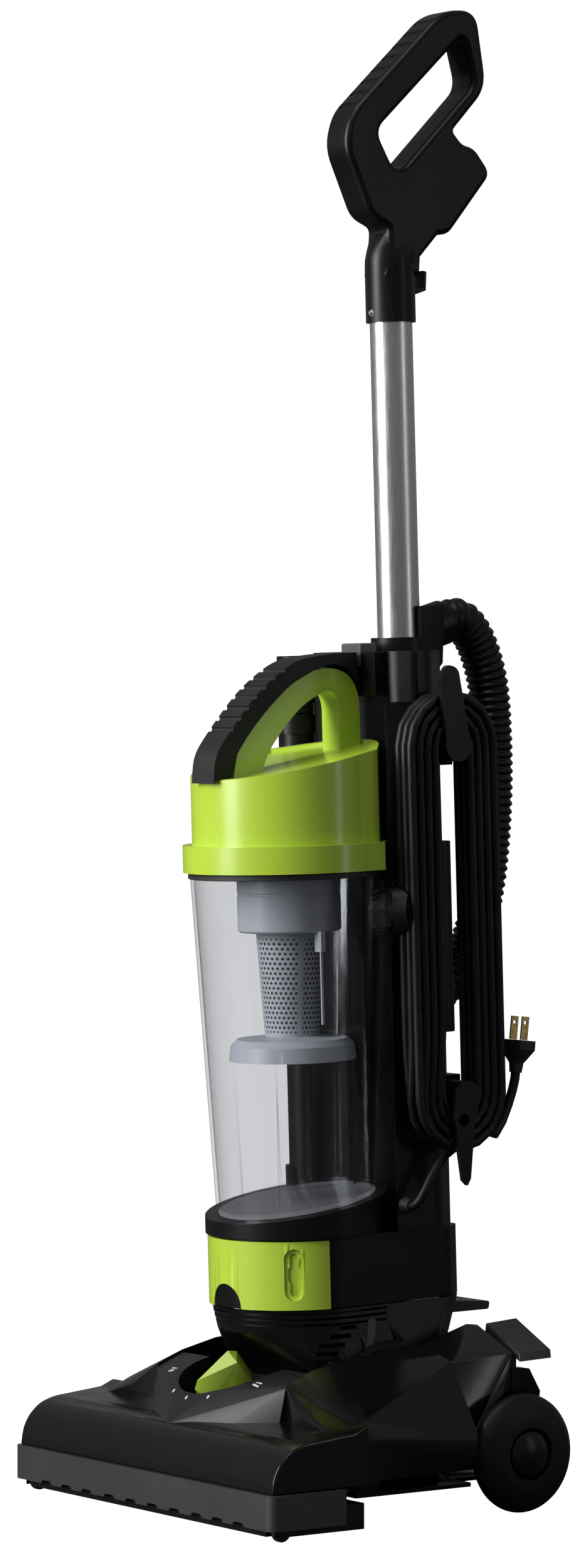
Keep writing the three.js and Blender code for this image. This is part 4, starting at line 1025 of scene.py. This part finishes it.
for word, side in (("left", -1), ("right", 1)):
    near, far = sorted((side * 50, side * 80))
    band = common(neck(-0.35), prism(rounded([
        (14, 138, 3), (22, 138, 3), (17, 118, 12), (4, 99, 8), (-14, 90, 2), (-12, 96, 2), (4, 108, 8),
        (12, 122, 6),
    ]), near, far))
    settle(softened(cut(band, neck(0.4)), 0.2), f"neck_painted_highlight_{word}", "tower", painted_highlight_grey)

# ------------------------------------------------------------ motor
# The stator pack of steel plates, and the shaft that carries the armature, the fan and the belt
# pulley.
motor_steel = Finish("motor_steel", (0.3, 0.3, 0.31), 0.4, Metallic=0.9)
motor_steel.set("Roughness", motor_steel.band(motor_steel.noise(160, 4), 0.3, 0.7, 0.3, 0.5))
stator = cut(
    rod(40, (-44, PIVOT_Y, PIVOT_Z), (36, PIVOT_Y, PIVOT_Z), 96),
    rod(17, (-45, PIVOT_Y, PIVOT_Z), (37, PIVOT_Y, PIVOT_Z)),
)
settle(softened(stator, 0.6), "stator", "tower", motor_steel.material, ["motor_stator"])
rotor = turned([
    (0, -115), (4, -115), (4, -113), (8.6, -113), (8.6, -102), (4, -102), (4, -40), (16, -40), (16, 32),
    (4, 32), (4, 42), (38, 42), (38, 45), (12, 60), (0, 60),
], "X", (0, PIVOT_Y, PIVOT_Z), 64)
settle(softened(rotor, 0.4), "armature", "rotor", motor_steel.material, ["motor_rotor"])

# ------------------------------------------------------------ tower base and filter
# The round black box under the cup that holds the foam filter in its tray, and the lime door that
# snaps over its front, with a black finger scoop and an oval recess pressed into it.


def base_plan(radius, inset):
    return [
        *[tuple(p) for p in circle(radius, start=180, end=360, steps=64)], (radius, 88 - inset),
        (radius - 1, 94 - inset), (radius - 5, 99 - inset), (50 - inset, 108 - inset),
        (inset - 50, 108 - inset),
        (5 - radius, 99 - inset), (1 - radius, 94 - inset), (-radius, 88 - inset),
    ]


base_top = 199
base = cut(
    prism(base_plan(61.5, 0), neck_top + 0.3, base_top, "Z"),
    prism(base_plan(58.5, 3), neck_top + 3, base_top + 1, "Z"), rod(30, (0, 30, 145.5), (0, 30, 153.5)),
)
settle(softened(base, 0.6), "base", "tower", satin_black, ["tower_base"])
door = cut(
    prism(circle(66, steps=192), neck_top + 1, 198, "Z"), prism(circle(61.8, steps=192), 100, 250, "Z"),
    box(-100, 100, -17, 100, 100, 250), rod(17, (0, -80, 147), (0, -40, 152)),
)
# The upright oval recess lies near the door's right end, with a narrower slot pressed inside it.
door_turn = math.radians(-38)
door_out = Vector((math.cos(door_turn), math.sin(door_turn), 0))
door_side = Vector((-door_out.y, door_out.x, 0))


def on_door(across, up, reach):
    return door_out * reach + door_side * across + Vector((0, 0, 174 + up))


def door_slot(half_width, half_height, reach):
    """A bar with round ends, standing on the door's face and pushed in to a radius."""
    rims = [
        (half_width * a, half_width * b + end)
        for end in (half_height, -half_height) for a, b in circle(1, steps=32)
    ]
    return hull([on_door(across, up, depth) for depth in (reach, 90) for across, up in rims])


door = cut(door, door_slot(7.2, 11.5, 64.4))
door = cut(door, door_slot(3.2, 12.5, 63.2), door_slot(4.4, 3.0, 63.2))
settle(softened(door, 0.9, 30, 3), "door", "door", lime_gloss, ["filter_door"])
scoop = cut(
    common(rod(16.6, (0, -80, 147), (0, -40, 152)), rod(65, (0, 0, neck_top + 1.2), (0, 0, 198), 128)),
    rod(61.9, (0, 0, 100), (0, 0, 250), 128),
)
settle(softened(scoop, 0.5), "door_scoop", "door", satin_black)
tray = cut(
    rod(52, (0, 0, 153), (0, 0, 186), 96), rod(49, (0, 0, 156), (0, 0, 190), 96),
    rod(14, (0, 0, 150), (0, 0, 160)),
)
settle(softened(tray, 0.4), "tray", "tower", bezel_grey, ["filter_tray"])
foam_finish = Finish("foam_cells", (0.09, 0.09, 0.095), 0.95)
foam_cells = foam_finish.noise(900, 2)
foam_finish.set("Base Color", foam_finish.mix(foam_cells, (0.03, 0.03, 0.032), (0.16, 0.16, 0.165)))
foam_finish.relief(foam_cells, 0.0008, 0.8)
foam_disc = turned([
    (0, 157), (40, 157.0), (46, 157.6), (48, 159.5), (48.4, 164), (48.4, 177), (48, 181.5), (46, 183.4),
    (40, 184), (20, 183.6), (0, 184),
])
settle(softened(foam_disc, 0), "foam", "tower", foam_finish.material, ["foam_filter"])

# ------------------------------------------------------------ cup seat
# A thick soft-black collar whose top slants down to the front, where the cup's foot rests.


def below(height, slope):
    """Everything under a plane that rises to the rear."""
    reach = 400
    return prism([
        (-reach, -reach), (reach, -reach), (reach, height + slope * reach), (-reach, height - slope * reach),
    ], -reach, reach)


SEAT_Z, SEAT_SLOPE = 221, 0.152
seat = common(rod(67.5, (0, 0, base_top + 0.3), (0, 0, 260), 160), below(SEAT_Z, SEAT_SLOPE))
seat = cut(
    seat, rod(44, (0, 0, base_top - 5), (0, 0, base_top + 4), 64),
    rod(9, (12, 54, 190), (12, 54, 250), 48),
)
settle(softened(seat, 1.6, 30, 4), "seat", "tower", satin_black, ["cup_seat"])

# ------------------------------------------------------------ spine
# Two satin black shells, screwed together, that stand behind the cup and carry the air ducts. The
# front one has the hollow for the cup, and the cup and clip of the stored wand.
SPINE_HALF, SPINE_FRONT, CRADLE_R = 65, 44, 78
wand_x, wand_y, wand_r = -67, 62, 16.5
split_y = 79
port_angle, port_z = math.radians(35), 434


def port_point(reach):
    return (reach * math.cos(port_angle), reach * math.sin(port_angle), port_z)


def spine_plan(inset):
    half = SPINE_HALF - inset
    return rounded([
        (-half, SPINE_FRONT + inset), (half, SPINE_FRONT + inset), (half, 84 - inset, 6),
        (44 - inset, 110 - inset, 10), (inset - 44, 110 - inset, 10), (-half, 84 - inset, 6),
    ])


def wand_bar(radius, z0, z1, steps=96):
    return rod(radius, (wand_x, wand_y, z0), (wand_x, wand_y, z1), steps)


def spine_bulk():
    return cut(
        prism(spine_plan(0), base_top + 0.3, 584.7, "Z"), rod(CRADLE_R, (0, 0, 150), (0, 0, 700), 192),
        wand_bar(wand_r + 2, 150, 700),
    )


def spine_hollow():
    return cut(
        prism(spine_plan(3), base_top + 3.3, 600, "Z"), rod(CRADLE_R + 3, (0, 0, 150), (0, 0, 700), 192),
        wand_bar(wand_r + 5, 150, 700),
    )


holder = cut(
    wand_bar(wand_r + 3, base_top + 0.3, 238), wand_bar(wand_r + 0.3, 222.7, 240),
    rod(CRADLE_R, (0, 0, 150), (0, 0, 700), 192),
)
clip = cut(
    wand_bar(wand_r + 3, 562, 576), wand_bar(wand_r + 0.3, 560, 580),
    box(wand_x - 30, wand_x + 5, wand_y - 30, wand_y + 30, 560, 580),
)
duct_mouth = rod(22, (0, 0, port_z), port_point(120), 96)
spine_front = common(
    join(cut(spine_bulk(), spine_hollow()), holder, clip), box(-200, 200, -200, split_y - 0.3, 0, 800),
)
settle(
    softened(cut(spine_front, duct_mouth), 0.7, 40, 2), "spine_shell_front", "tower", satin_black,
    ["spine_front"],
)
spine_rear = common(cut(spine_bulk(), spine_hollow()), box(-200, 200, split_y, 200, 0, 800))
for height in (hank_high, hank_low):
    spine_rear = join(spine_rear, cut(
        box(50, 70.7, split_y + 0.5, hank_y + 14, height - 14, height + 14), spine_hollow(),
    ))
spine_rear = cut(spine_rear, rod(17.4, (0, 90, 347), (0, 125, 360)))
settle(
    softened(spine_rear, 0.7, 40, 2), "spine_shell_rear", "tower", satin_black,
    ["spine_back"],
)

# ------------------------------------------------------------ head
# The black block on top of the spine holds the foot of the tube and the upper end of the hose. The
# pale button in its front lets the cup go.
HEAD_Z, TUBE_Y, tube_r = 622, 106.5, 15.9
head = cut(
    prism(rounded([
        (-50, 62, 6), (50, 62, 6), (SPINE_HALF, 72, 4), (SPINE_HALF, 86, 6),
        (46, 112, 10), (-46, 112, 10), (-SPINE_HALF, 86, 6), (-SPINE_HALF, 72, 4),
    ]), 585, HEAD_Z, "Z"),
    rod(CRADLE_R, (0, 0, 150), (0, 0, 700), 192), wand_bar(wand_r + 2, 150, 700),
)
head = join(
    head, box(-30, 30, 61.5, 90, 590, HEAD_Z), rod(21, (0, TUBE_Y, 588), (0, TUBE_Y, 632), 96),
    hull([
        (-17, 112, 590), (17, 112, 590), (-21, 112, 655), (21, 112, 655),
        (-17, 134, 612), (17, 134, 612), (-21, 134, 655), (21, 134, 655),
    ]),
)
head = cut(
    head, rod(tube_r + 0.3, (0, TUBE_Y, 560), (0, TUBE_Y, 700), 96),
    rod(17.3, upper_socket(0), upper_socket(20), 96),
    box(-13, 13, 58, 78, 606, 640),
)
settle(softened(head, 1.2, 34, 3), "head", "tower", satin_black, ["tower_head"])
latch_grey = plastic("latch_grey", (0.07, 0.072, 0.076), 0.35, wear=0.2)
latch = prism(rounded([(61.8, 611.5), (77, 611.5), (77, 628.5, 2), (61.8, 628.5, 2)]), -12, 12)
settle(softened(latch, 0.8), "latch_button", "button", latch_grey, ["cup_release_button"])

# ------------------------------------------------------------ inlet duct
# The short black mouth that meets the cup's inlet, with a hexagonal flange.
duct = cut(
    join(rod(21.7, port_point(81), port_point(85), 6), rod(19.4, port_point(82), port_point(97), 96)),
    rod(16, port_point(80), port_point(93), 96),
    box(70.2, 130, 43, 200, 0, 800),
)
settle(softened(duct, 0.8), "duct", "tower", satin_black, ["inlet_duct"])

# ------------------------------------------------------------ dust cup
# A clear polystyrene beaker, wider at the top, its foot cut on a slant. A channel up its rear wall
# carries the clean air down, and a round inlet stands out at its right.
CUP_TOP, CUP_TOP_R, CUP_BOTTOM_R = 459, 72, 58.5
clear_cup = Finish("clear_cup", (0.8, 0.82, 0.85), 0.07, Metallic=1.0)
see_through = clear_cup.tree.nodes.new("ShaderNodeBsdfTransparent")
see_through.inputs["Color"].default_value = (0.893, 0.896, 0.903, 1)
grazing = clear_cup.node("LayerWeight", {}, 0.5, output="Facing")
gloss_share = clear_cup.band(grazing * grazing * grazing * grazing, 0, 1, 0.045, 0.5)
cup_mix = clear_cup.tree.nodes.new("ShaderNodeMixShader")
clear_cup.tree.links.new(gloss_share.socket, cup_mix.inputs["Fac"])
clear_cup.tree.links.new(see_through.outputs[0], cup_mix.inputs[1])
clear_cup.tree.links.new(clear_cup.shader.outputs[0], cup_mix.inputs[2])
clear_cup.tree.links.new(cup_mix.outputs[0], clear_cup.tree.nodes["Material Output"].inputs["Surface"])
clear_cup.set("Roughness", clear_cup.band(clear_cup.noise(40, 4), 0.35, 0.7, 0.05, 0.12))


def cup_radius(z):
    return CUP_BOTTOM_R + (CUP_TOP_R - CUP_BOTTOM_R) * (z - 205) / (CUP_TOP - 205)


def cup_cone(inset, z0, z1):
    return turned([(0, z0), (cup_radius(z0) - inset, z0), (cup_radius(z1) - inset, z1), (0, z1)], steps=160)


def cup_outside():
    return cut(cup_cone(0, 205, CUP_TOP), below(SEAT_Z + 0.3, SEAT_SLOPE))


cup_shell = cut(
    cup_outside(), cut(cup_cone(2.5, 203, CUP_TOP + 3), below(SEAT_Z + 3.3, SEAT_SLOPE)),
)
cup_shell = join(
    cup_shell, common(cup_outside(), box(0, 24, 48.5, 80, 200, CUP_TOP - 2)),
    cut(rod(19, port_point(64), port_point(80.5), 96), cup_cone(1, 203, CUP_TOP)),
    *[box(5, 19, 47.7, 49, z, z + 1.4) for z in range(250, 420, 28)],
)
cup_shell = cut(
    cup_shell, common(box(2, 22, 50.5, 80, 190, CUP_TOP + 2), cup_cone(2.5, 203, CUP_TOP + 3)),
    rod(16, port_point(52), port_point(82), 96),
)
settle(softened(cup_shell, 0.5, 40, 2), "cup_shell", "cup", clear_cup.material, ["dust_cup"])
# The foot of the cup is moulded in frosted grey, and shows through the clear floor above it.
frosted_grey = plastic("frosted_grey", (0.36, 0.37, 0.39), 0.5, grain=0.4, wear=0.5)
cup_foot = cut(
    common(cup_cone(1.5, 205, CUP_TOP), below(SEAT_Z + 0.26, SEAT_SLOPE)), below(SEAT_Z + 0.06, SEAT_SLOPE),
)
settle(cup_foot, "cup_foot", "cup", frosted_grey)
LID_Z = 464
seal_rubber = plastic("seal_rubber", (0.012, 0.012, 0.012), 0.6, wear=0.2)
seal = turned([
    (66, CUP_TOP + 0.3), (73, CUP_TOP + 0.3), (73.5, CUP_TOP + 0.8), (73.5, LID_Z - 0.8), (73, LID_Z - 0.3),
    (66, LID_Z - 0.3),
], steps=128)
settle(softened(seal, 0), "seal", "cup", seal_rubber, ["cup_seal"])

# ------------------------------------------------------------ lid and carrying handle
# The lime lid clips into the cup: a wide rim, a slanted top with a low lip, and the carrying bow
# moulded on it. A soft black grip with finger ribs is moulded over the outside of the bow.
LID_R, LID_RIM_R, LID_TOP_Z, LID_SLOPE = 70, 77, 545, 0.186


def arc_line(points, steps=8):
    return [(p.x, p.y) for p in smooth_line([Vector((a, b, 0)) for a, b in points], steps)]


def bend_line(start, bend, end, steps=8):
    """Points after start on the curve that leaves it for bend and comes to end from there."""
    start, bend, end = Vector(start), Vector(bend), Vector(end)
    shares = [k / steps for k in range(1, steps + 1)]
    return [tuple(start * (1 - t) ** 2 + bend * 2 * t * (1 - t) + end * t ** 2) for t in shares]


def lid_plan(radius, inset):
    """The lid from above: round in front, and bowed out to the rear between two corners."""
    rear_turn = 0.27
    corner = math.degrees(rear_turn)
    half = radius * math.cos(rear_turn)
    shoulder_y, rear_y, crown_y = 47 - inset, LID_R - 3 - inset, LID_R - 1 - inset
    return [
        *circle(radius, start=180 - corner, end=360 + corner, steps=96),
        (half - 1, 35 - inset), (half - 16, shoulder_y),
        *bend_line((half - 16, shoulder_y), (half - 38, rear_y), (0, crown_y), 12),
        *bend_line((0, crown_y), (38 - half, rear_y), (16 - half, shoulder_y), 12),
        (1 - half, 35 - inset),
    ]


bow_outline = [
    *arc_line([(-55, 528), (-49, 553), (-35, 570), (-17, 587), (0, 600), (20, 609.5)]),
    *bend_line((20, 609.5), (38, 613.5), (50, 606)), *bend_line((50, 606), (60.5, 598), (60.5, 580)),
    (60.5, 552), (42, 549), (42, 580), *bend_line((42, 580), (41, 597), (28, 594)),
    *arc_line([(28, 594), (8, 583), (-10, 566), (-22, 551), (-29, 536)])[1:],
]
lid = join(
    prism(lid_plan(LID_RIM_R, 0), LID_Z, LID_Z + 20, "Z"),
    common(prism(lid_plan(LID_R, 0), LID_Z, 600, "Z"), below(LID_TOP_Z, LID_SLOPE)),
)
lid = cut(
    lid, common(prism(lid_plan(LID_R - 3, 3), LID_Z - 5, 600, "Z"), below(LID_TOP_Z - 6, LID_SLOPE)),
    cut(prism(lid_plan(LID_R - 4, 4), LID_Z, 600, "Z"), below(LID_TOP_Z - 2.5, LID_SLOPE)),
)
lid = join(lid, prism(bow_outline, -11, 11))
settle(softened(lid, 1.4, 34, 4), "lid", "lid", lime_gloss, ["cup_lid"])
grip_black = plastic("grip_black", (0.006, 0.006, 0.0065), 0.5, grain=0.5, wear=0.4, Specular_IOR_Level=0.35)
grip_outline = [
    (-57.5, 540.5), (-57.5, 536), (-64, 534), (-73, 531.5),
    *arc_line([
        (-74, 530), (-71, 549), (-60, 565), (-36, 591), (-17, 606), (4, 617), (30, 621), (57, 622),
    ]),
    (58, 601), *bend_line((58, 601), (50, 612), (38, 614)),
    *arc_line([
        (38, 614), (20, 610.5), (-0.5, 601), (-17.7, 588), (-35.8, 571), (-50.3, 553.4), (-57.5, 540.5),
    ])[1:-1],
]
grip = cut(prism(grip_outline, -14, 14), prism(bow_outline, -12, 12))
rib_spots = [(-57, 568.5), (-50, 576), (-43, 583.5), (-35.5, 591.4), (-27.5, 598), (-19, 604.6), (-10, 610)]
grip = cut(grip, *[
    rod(2.1, (-20, y, z + 0.5), (20, y, z + 0.5), 24) for y, z in rib_spots
])
settle(softened(grip, 0.8, 40, 3), "grip", "lid", grip_black, ["lid_grip"])

# ------------------------------------------------------------ cyclone
# A blue-grey insert that hangs from the lid: a round chamber, a cone pierced with rows of fine holes
# and a flared disc at its foot that keeps the dust down.
cyclone_grey = plastic("cyclone_grey", (0.50, 0.53, 0.58), 0.38, wear=0.3)
shroud = join(
    turned([
        (0, 419), (36.6, 419), (38, 420.4), (38, 446), (37.4, 446.6), (37.4, 447.6), (38, 448.2),
        (38, 463.5), (38, 464.5), (62, 464.5), (62, 468), (0, 468),
    ], steps=128),
    box(34, 42, -2, 2, 405, 420), box(38.5, 40, -1, 1, 352, 406),
)
shroud = cut(shroud, rod(36, (0, 0, 421.5), (0, 0, 470), 96), rod(20, (0, 0, 410), (0, 0, 430)))
settle(softened(shroud, 0.4), "shroud", "lid", cyclone_grey, ["cyclone_shroud"])
screen = turned([
    (0, 336), (40, 336), (44, 325), (47, 325), (45.5, 336), (41, 340.5), (20, 342.6), (24.8, 418.7),
    (23, 418.7), (18.1, 342.6), (0, 341),
], steps=128)
# The holes are dark dots set out by turn and height, left out along the plain bands of the mould.
mesh_finish = Finish("screen_mesh", (0.50, 0.53, 0.58), 0.42)
across, deep, high = (
    mesh_finish.node("SeparateXYZ", {}, mesh_finish.node(
        "Mapping", {"vector_type": "POINT"}, mesh_finish.place,
        Location=tuple(-axis for axis in (tower_place @ Vector((0, 0, 340)))),
    ), output=axis)
    for axis in range(3)
)
turn_share = mesh_finish.node("Math", {"operation": "ARCTAN2"}, deep, across) * (1 / math.tau)
hole_columns, hole_pitch = 38, 0.0036
column = turn_share * hole_columns
row = high * (1 / hole_pitch)
shifted = column + row.sum("FLOOR", row).sum("MODULO", row.sum("FLOOR", row), 2.0) * 0.5
off_x = shifted.sum("FRACT", shifted) - 0.5
off_z = row.sum("FRACT", row) - 0.5
far = (off_x * off_x + off_z * off_z).sum("SQRT", off_x * off_x + off_z * off_z)
hole = mesh_finish.band(far, 0.24, 0.32, 1, 0)
quarter = turn_share * 4 + 4.28
plain_band = mesh_finish.band(quarter.sum("FRACT", quarter), 0.11, 0.13)
on_cone = mesh_finish.band(high, 0.004, 0.006) * (1 - mesh_finish.band(high, 0.073, 0.075))
pierced = hole * plain_band * on_cone
mesh_finish.set("Base Color", mesh_finish.mix(pierced, (0.50, 0.53, 0.58), (0.012, 0.013, 0.015)))
mesh_finish.set("Roughness", mesh_finish.band(pierced, 0, 1, 0.4, 0.8))
settle(softened(screen, 0, 28), "screen", "lid", mesh_finish.material, ["cyclone_screen"])

# ------------------------------------------------------------ handle tube
# Drawn aluminium tube with a fine brushed satin grain along its length, clamped between the head
# and the collar of the loop grip.
tube_metal = Finish("brushed_aluminium", (0.62, 0.63, 0.64), 0.32, Metallic=1.0)
grain_map = tube_metal.node("Mapping", {"vector_type": "POINT"}, tube_metal.place, Scale=(1, 1, 0.02))
tube_grain = tube_metal.noise(1600, 2, vector=grain_map)
tube_metal.set("Roughness", tube_metal.band(tube_grain, 0.3, 0.7, 0.26, 0.38))
tube_metal.set("Base Color", tube_metal.mix(tube_grain, (0.58, 0.59, 0.60), (0.68, 0.69, 0.70)))
tube = cut(
    rod(tube_r, (0, TUBE_Y, 592), (0, TUBE_Y, 904), 96),
    rod(tube_r - 1.6, (0, TUBE_Y, 591), (0, TUBE_Y, 905), 96),
)
settle(softened(tube, 0.3), "tube", "tower", tube_metal.material, ["handle_tube"])

# ------------------------------------------------------------ loop grip
# Two black half shells, screwed together round the top of the tube: a collar, and a leaning loop
# with rounded edges and finger ribs across the front of its lower bar.
LOOP_HALF, collar_r, tube_top, tube_end = 15, 18.6, 866, 904
loop_outside = rounded([
    (92, 900), (96, 925), (97, 936, 4), (80, 944, 8), (58, 996, 13), (66, 1021, 10), (152, 1099, 16),
    (184, 1100, 14), (192, 1042, 14), (159, 1009, 3), (168, 999, 5), (179, 997, 6), (194, 978, 8),
    (153, 932, 5), (143, 931), (126, 914), (124, 900),
])
hand_hole = rounded([(171, 1081, 8), (88, 1007, 10), (106, 974, 14), (180, 1044, 10)])


def drawn_in(outline, by):
    """The same outline with every side moved inwards (outwards where by is below zero)."""
    turn = sum(a[0] * b[1] - b[0] * a[1] for a, b in zip(outline, [*outline[1:], outline[0]]))
    sign = 1 if turn > 0 else -1
    found = []
    for i, point in enumerate(outline):
        before, after = Vector(outline[i - 1][:2]), Vector(outline[(i + 1) % len(outline)][:2])
        along = (after - before).normalized()
        found.append(Vector(point[:2]) + Vector((-along.y, along.x)) * by * sign)
    return found


def lofted(outline, sections):
    """A closed form whose outline is drawn in by its own amount at each (x, amount)."""
    bm = bmesh.new()
    rings = [[bm.verts.new((x, *point)) for point in drawn_in(outline, by)] for x, by in sections]
    for first, second in zip(rings, rings[1:]):
        for i in range(len(first)):
            bm.faces.new((first[i - 1], first[i], second[i], second[i - 1]))
    for end in (rings[0], rings[-1]):
        bm.faces.new(end)
    bmesh.ops.recalc_face_normals(bm, faces=bm.faces)
    return blank(bm)


edge_round = 5
edge_turns = [math.pi / 2 * k / 6 for k in range(7)]
edge_steps = [
    (LOOP_HALF - edge_round * (1 - math.cos(turn)), edge_round * (1 - math.sin(turn))) for turn in edge_turns
]
loop_sections = [(-x, by) for x, by in edge_steps] + [(x, by) for x, by in reversed(edge_steps)]
hole_sections = [(x, -by) for x, by in loop_sections]
hole_sections = [(-LOOP_HALF - 1, -edge_round), *hole_sections, (LOOP_HALF + 1, -edge_round)]
loop = join(
    cut(lofted(loop_outside, loop_sections), lofted(hand_hole, hole_sections)),
    rod(collar_r, (0, TUBE_Y, tube_top), (0, TUBE_Y, 908), 96),
    hull([
        (x, TUBE_Y + y, z) for z, radius in ((907, collar_r), (913, collar_r - 0.3), (919, collar_r - 1.6))
        for x, y in circle(radius, steps=48)
    ] + [(x, y, 938) for x in (-11, 11) for y in (100, 132)]),
    cut(
        hull([
            (-5, 123, 886), (5, 123, 886), (-5, 123, 908), (5, 123, 908),
            (-5, 136, 890), (5, 136, 890), (-5, 137, 904), (5, 137, 904),
        ]),
        box(-6, 6, 127.2, 134.2, 892, 920),
    ),
)
loop = cut(
    loop, rod(tube_r + 0.3, (0, TUBE_Y, tube_top - 5), (0, TUBE_Y, tube_end + 1), 96),
    rod(3, (0, 80, 873), (0, 95, 873), 32),
)
rib_start, rib_end = Vector((0, 72, 1026.4)), Vector((0, 143, 1090.8))
for rib in range(8):
    middle = rib_start.lerp(rib_end, rib / 7) + Vector((0, -0.4, 0.45))
    loop = cut(loop, rod(2.5, middle - Vector((12, 0, 0)), middle + Vector((12, 0, 0)), 24))
halves = loop.data.copy()
for word, side in (("left", -1), ("right", 1)):
    half_loop = bpy.data.objects.new("blank", halves.copy())
    scene.collection.objects.link(half_loop)
    near, far = (-60, -0.15) if side < 0 else (0.15, 60)
    half_loop = common(half_loop, box(near, far, 0, 300, 800, 1200))
    settle(
        softened(half_loop, 0.5, 40, 2), f"grip_shell_{word}", "tower", satin_black,
        [f"handle_{word}_half"],
    )
bpy.data.objects.remove(loop)
screw = join(
    rod(2.7, (0, 88.4, 873), (0, 90.3, 873), 32), rod(1.5, (0, 86.8, 873), (0, 90, 873), 24),
)
settle(softened(screw, 0.2), "collar_screw", "tower", bright_steel.material, ["handle_screw"])

# ------------------------------------------------------------ extension wand
# A black plastic tube with a collar, parked upright in the hollow at the tower's left.
wand = cut(
    join(wand_bar(wand_r, 223, 620), wand_bar(wand_r + 1.2, 577, 584)), wand_bar(wand_r - 2, 222, 621),
)
settle(softened(wand, 0.5), "wand_tube", "wand", satin_black, ["extension_wand"])

# ------------------------------------------------------------ cord hooks
# Two black hooks on stubs beside the tower hold the wound cord. The upper one turns down to drop it;
# the lower one is fixed, with an oval pad.
hook_x = 94
upper_hook = join(
    rod(11.2, (71, hank_y, hank_high), (hook_x + 4, hank_y, hank_high)),
    prism(
        rounded([(76, 545, 6), (71, 604, 4), (77, 612, 4), (87, 609, 5), (98, 545, 6)]),
        hook_x, hook_x + 4,
    ),
)
settle(softened(upper_hook, 0.8), "hook_upper", "cord_hook", satin_black, ["upper_cord_hook"])
pad = [(x, 83 + y, 284 + z) for x in (hook_x, hook_x + 4) for y, z in circle(10.5)]
pad_small = [(x, 83 + y, 284 + z) for x in (hook_x, hook_x + 4) for y, z in circle(9.5)]
lower_hook = join(
    rod(11.2, (71, hank_y, hank_low), (hook_x + 1, hank_y, hank_low)),
    hull([(x, hank_y + y, hank_low + z) for x in (hook_x, hook_x + 4) for y, z in circle(11.2)] + pad),
    hull(pad_small + [
        (x, y, z) for x in (hook_x, hook_x + 4) for y, z in ((80, 236), (84, 232), (87, 237))
    ]),
)
lower_hook = cut(lower_hook, rod(4.5, (hook_x - 1, 82, 280), (hook_x + 6, 82, 280), 48))
settle(softened(lower_hook, 0.8), "hook_lower", "tower", satin_black, ["lower_cord_hook"])

# ------------------------------------------------------------ power pedal and switch
# The grey on-off pedal sticks out at the rear of the neck and turns on its own stubs. It presses the
# small black switch inside.
power = join(
    prism(rounded([(96, 131), (149, 130, 2), (150, 136, 2), (118, 139), (96, 139)]), -22, 34),
    rod(4, (-25, 94, 135), (37, 94, 135), 48),
)
settle(softened(power, 0.9, 24), "on_off_pedal", "switch_pedal", pedal_grey, ["power_pedal"])
switch_black = plastic("switch_black", (0.012, 0.012, 0.012), 0.3, wear=0.1)
switch = join(box(-10, 10, 60, 84, 120, 140), box(-5, 5, 83, 87, 126, 134))
settle(softened(switch, 0.5), "mains_switch", "tower", switch_black, ["power_switch"])

# ------------------------------------------------------------ hose cuffs and return duct
# A hard black cuff is bonded on each end of the hose. The lower one plugs into the duct that is
# screwed to the back of the tower.
for word, socket, near, far, mouth in (
    ("upper", upper_socket, 0.5, 21, -1), ("lower", lower_socket, 1, 21, 0),
):
    cuff = cut(rod(16.9, socket(near), socket(far), 96), rod(13, socket(mouth), socket(far + 2), 96))
    settle(
        softened(cuff, 0.4), f"cuff_{word}", "tower", satin_black, [f"hose_cuff_{word}"],
    )
tuple(tower_place @ hose_line[0])
measured(hose_line) * MM
[tuple(tower_place @ point) for point in evenly(hose_line, 6.0)]
back_duct = cut(
    prism(rounded([(-26, 110.4), (26, 110.4), (26, 133, 7), (-26, 133, 7)]), 338, 480, "Z"),
    box(-23, 23, 100, 130, 341, 477), rod(17.3, lower_socket(0), lower_socket(30), 96),
)
settle(softened(back_duct, 0.8), "back_duct", "tower", satin_black, ["return_duct"])

# ------------------------------------------------------------ cord gland and plug
# A flexible sleeve where the cord leaves the tower, and a moulded black plug at its other end with
# two flat brass blades, each pierced near its tip.
gland = cut(
    rod(6.5, (SPINE_HALF + 0.3, 51, 218), (73, 51, 218), 48, 4.6),
    rod(3.5, (70, 51, 218), (80, 51, 218), 48),
)
settle(softened(gland, 0.4), "gland", "tower", belt_rubber, ["cord_gland"])
plug_place = tower_place @ Matrix.Translation((82, 142.5, 309.6)) @ Matrix.Rotation(math.radians(-8), 4, "X")
plug = join(
    hull([(x, y, 0.0) for x, y in circle(4.6, steps=40)] + [(x, y, 8.0) for x, y in circle(5.5, steps=40)]),
    hull([(x, y, 7.0) for x, y in circle(5.4, steps=40)] + [
        (side_x * 12, side_y * 7, z) for z in (17, 24) for side_x in (-1, 1) for side_y in (-1, 1)
    ]),
)
settle(softened(plug, 0.9, 26), "plug_moulding", "tower", belt_rubber, ["plug_body"], plug_place)
brass_finish = Finish("brass", (0.72, 0.52, 0.20), 0.26, Metallic=1.0)
brass_finish.set("Roughness", brass_finish.band(brass_finish.noise(400, 3), 0.3, 0.7, 0.2, 0.34))
for word, side in (("left", -1), ("right", 1)):
    blade = cut(
        box(side * 6.35 - 0.75, side * 6.35 + 0.75, -3.2, 3.2, 24.2, 41.5),
        rod(1.4, (side * 6.35 - 2, 0, 37), (side * 6.35 + 2, 0, 37), 32),
    )
    settle(
        softened(blade, 0.2, 40, 2), f"blade_{word}", "tower", brass_finish.material,
        [f"plug_blade_{word}"], plug_place,
    )
measured(cord_points) * MM
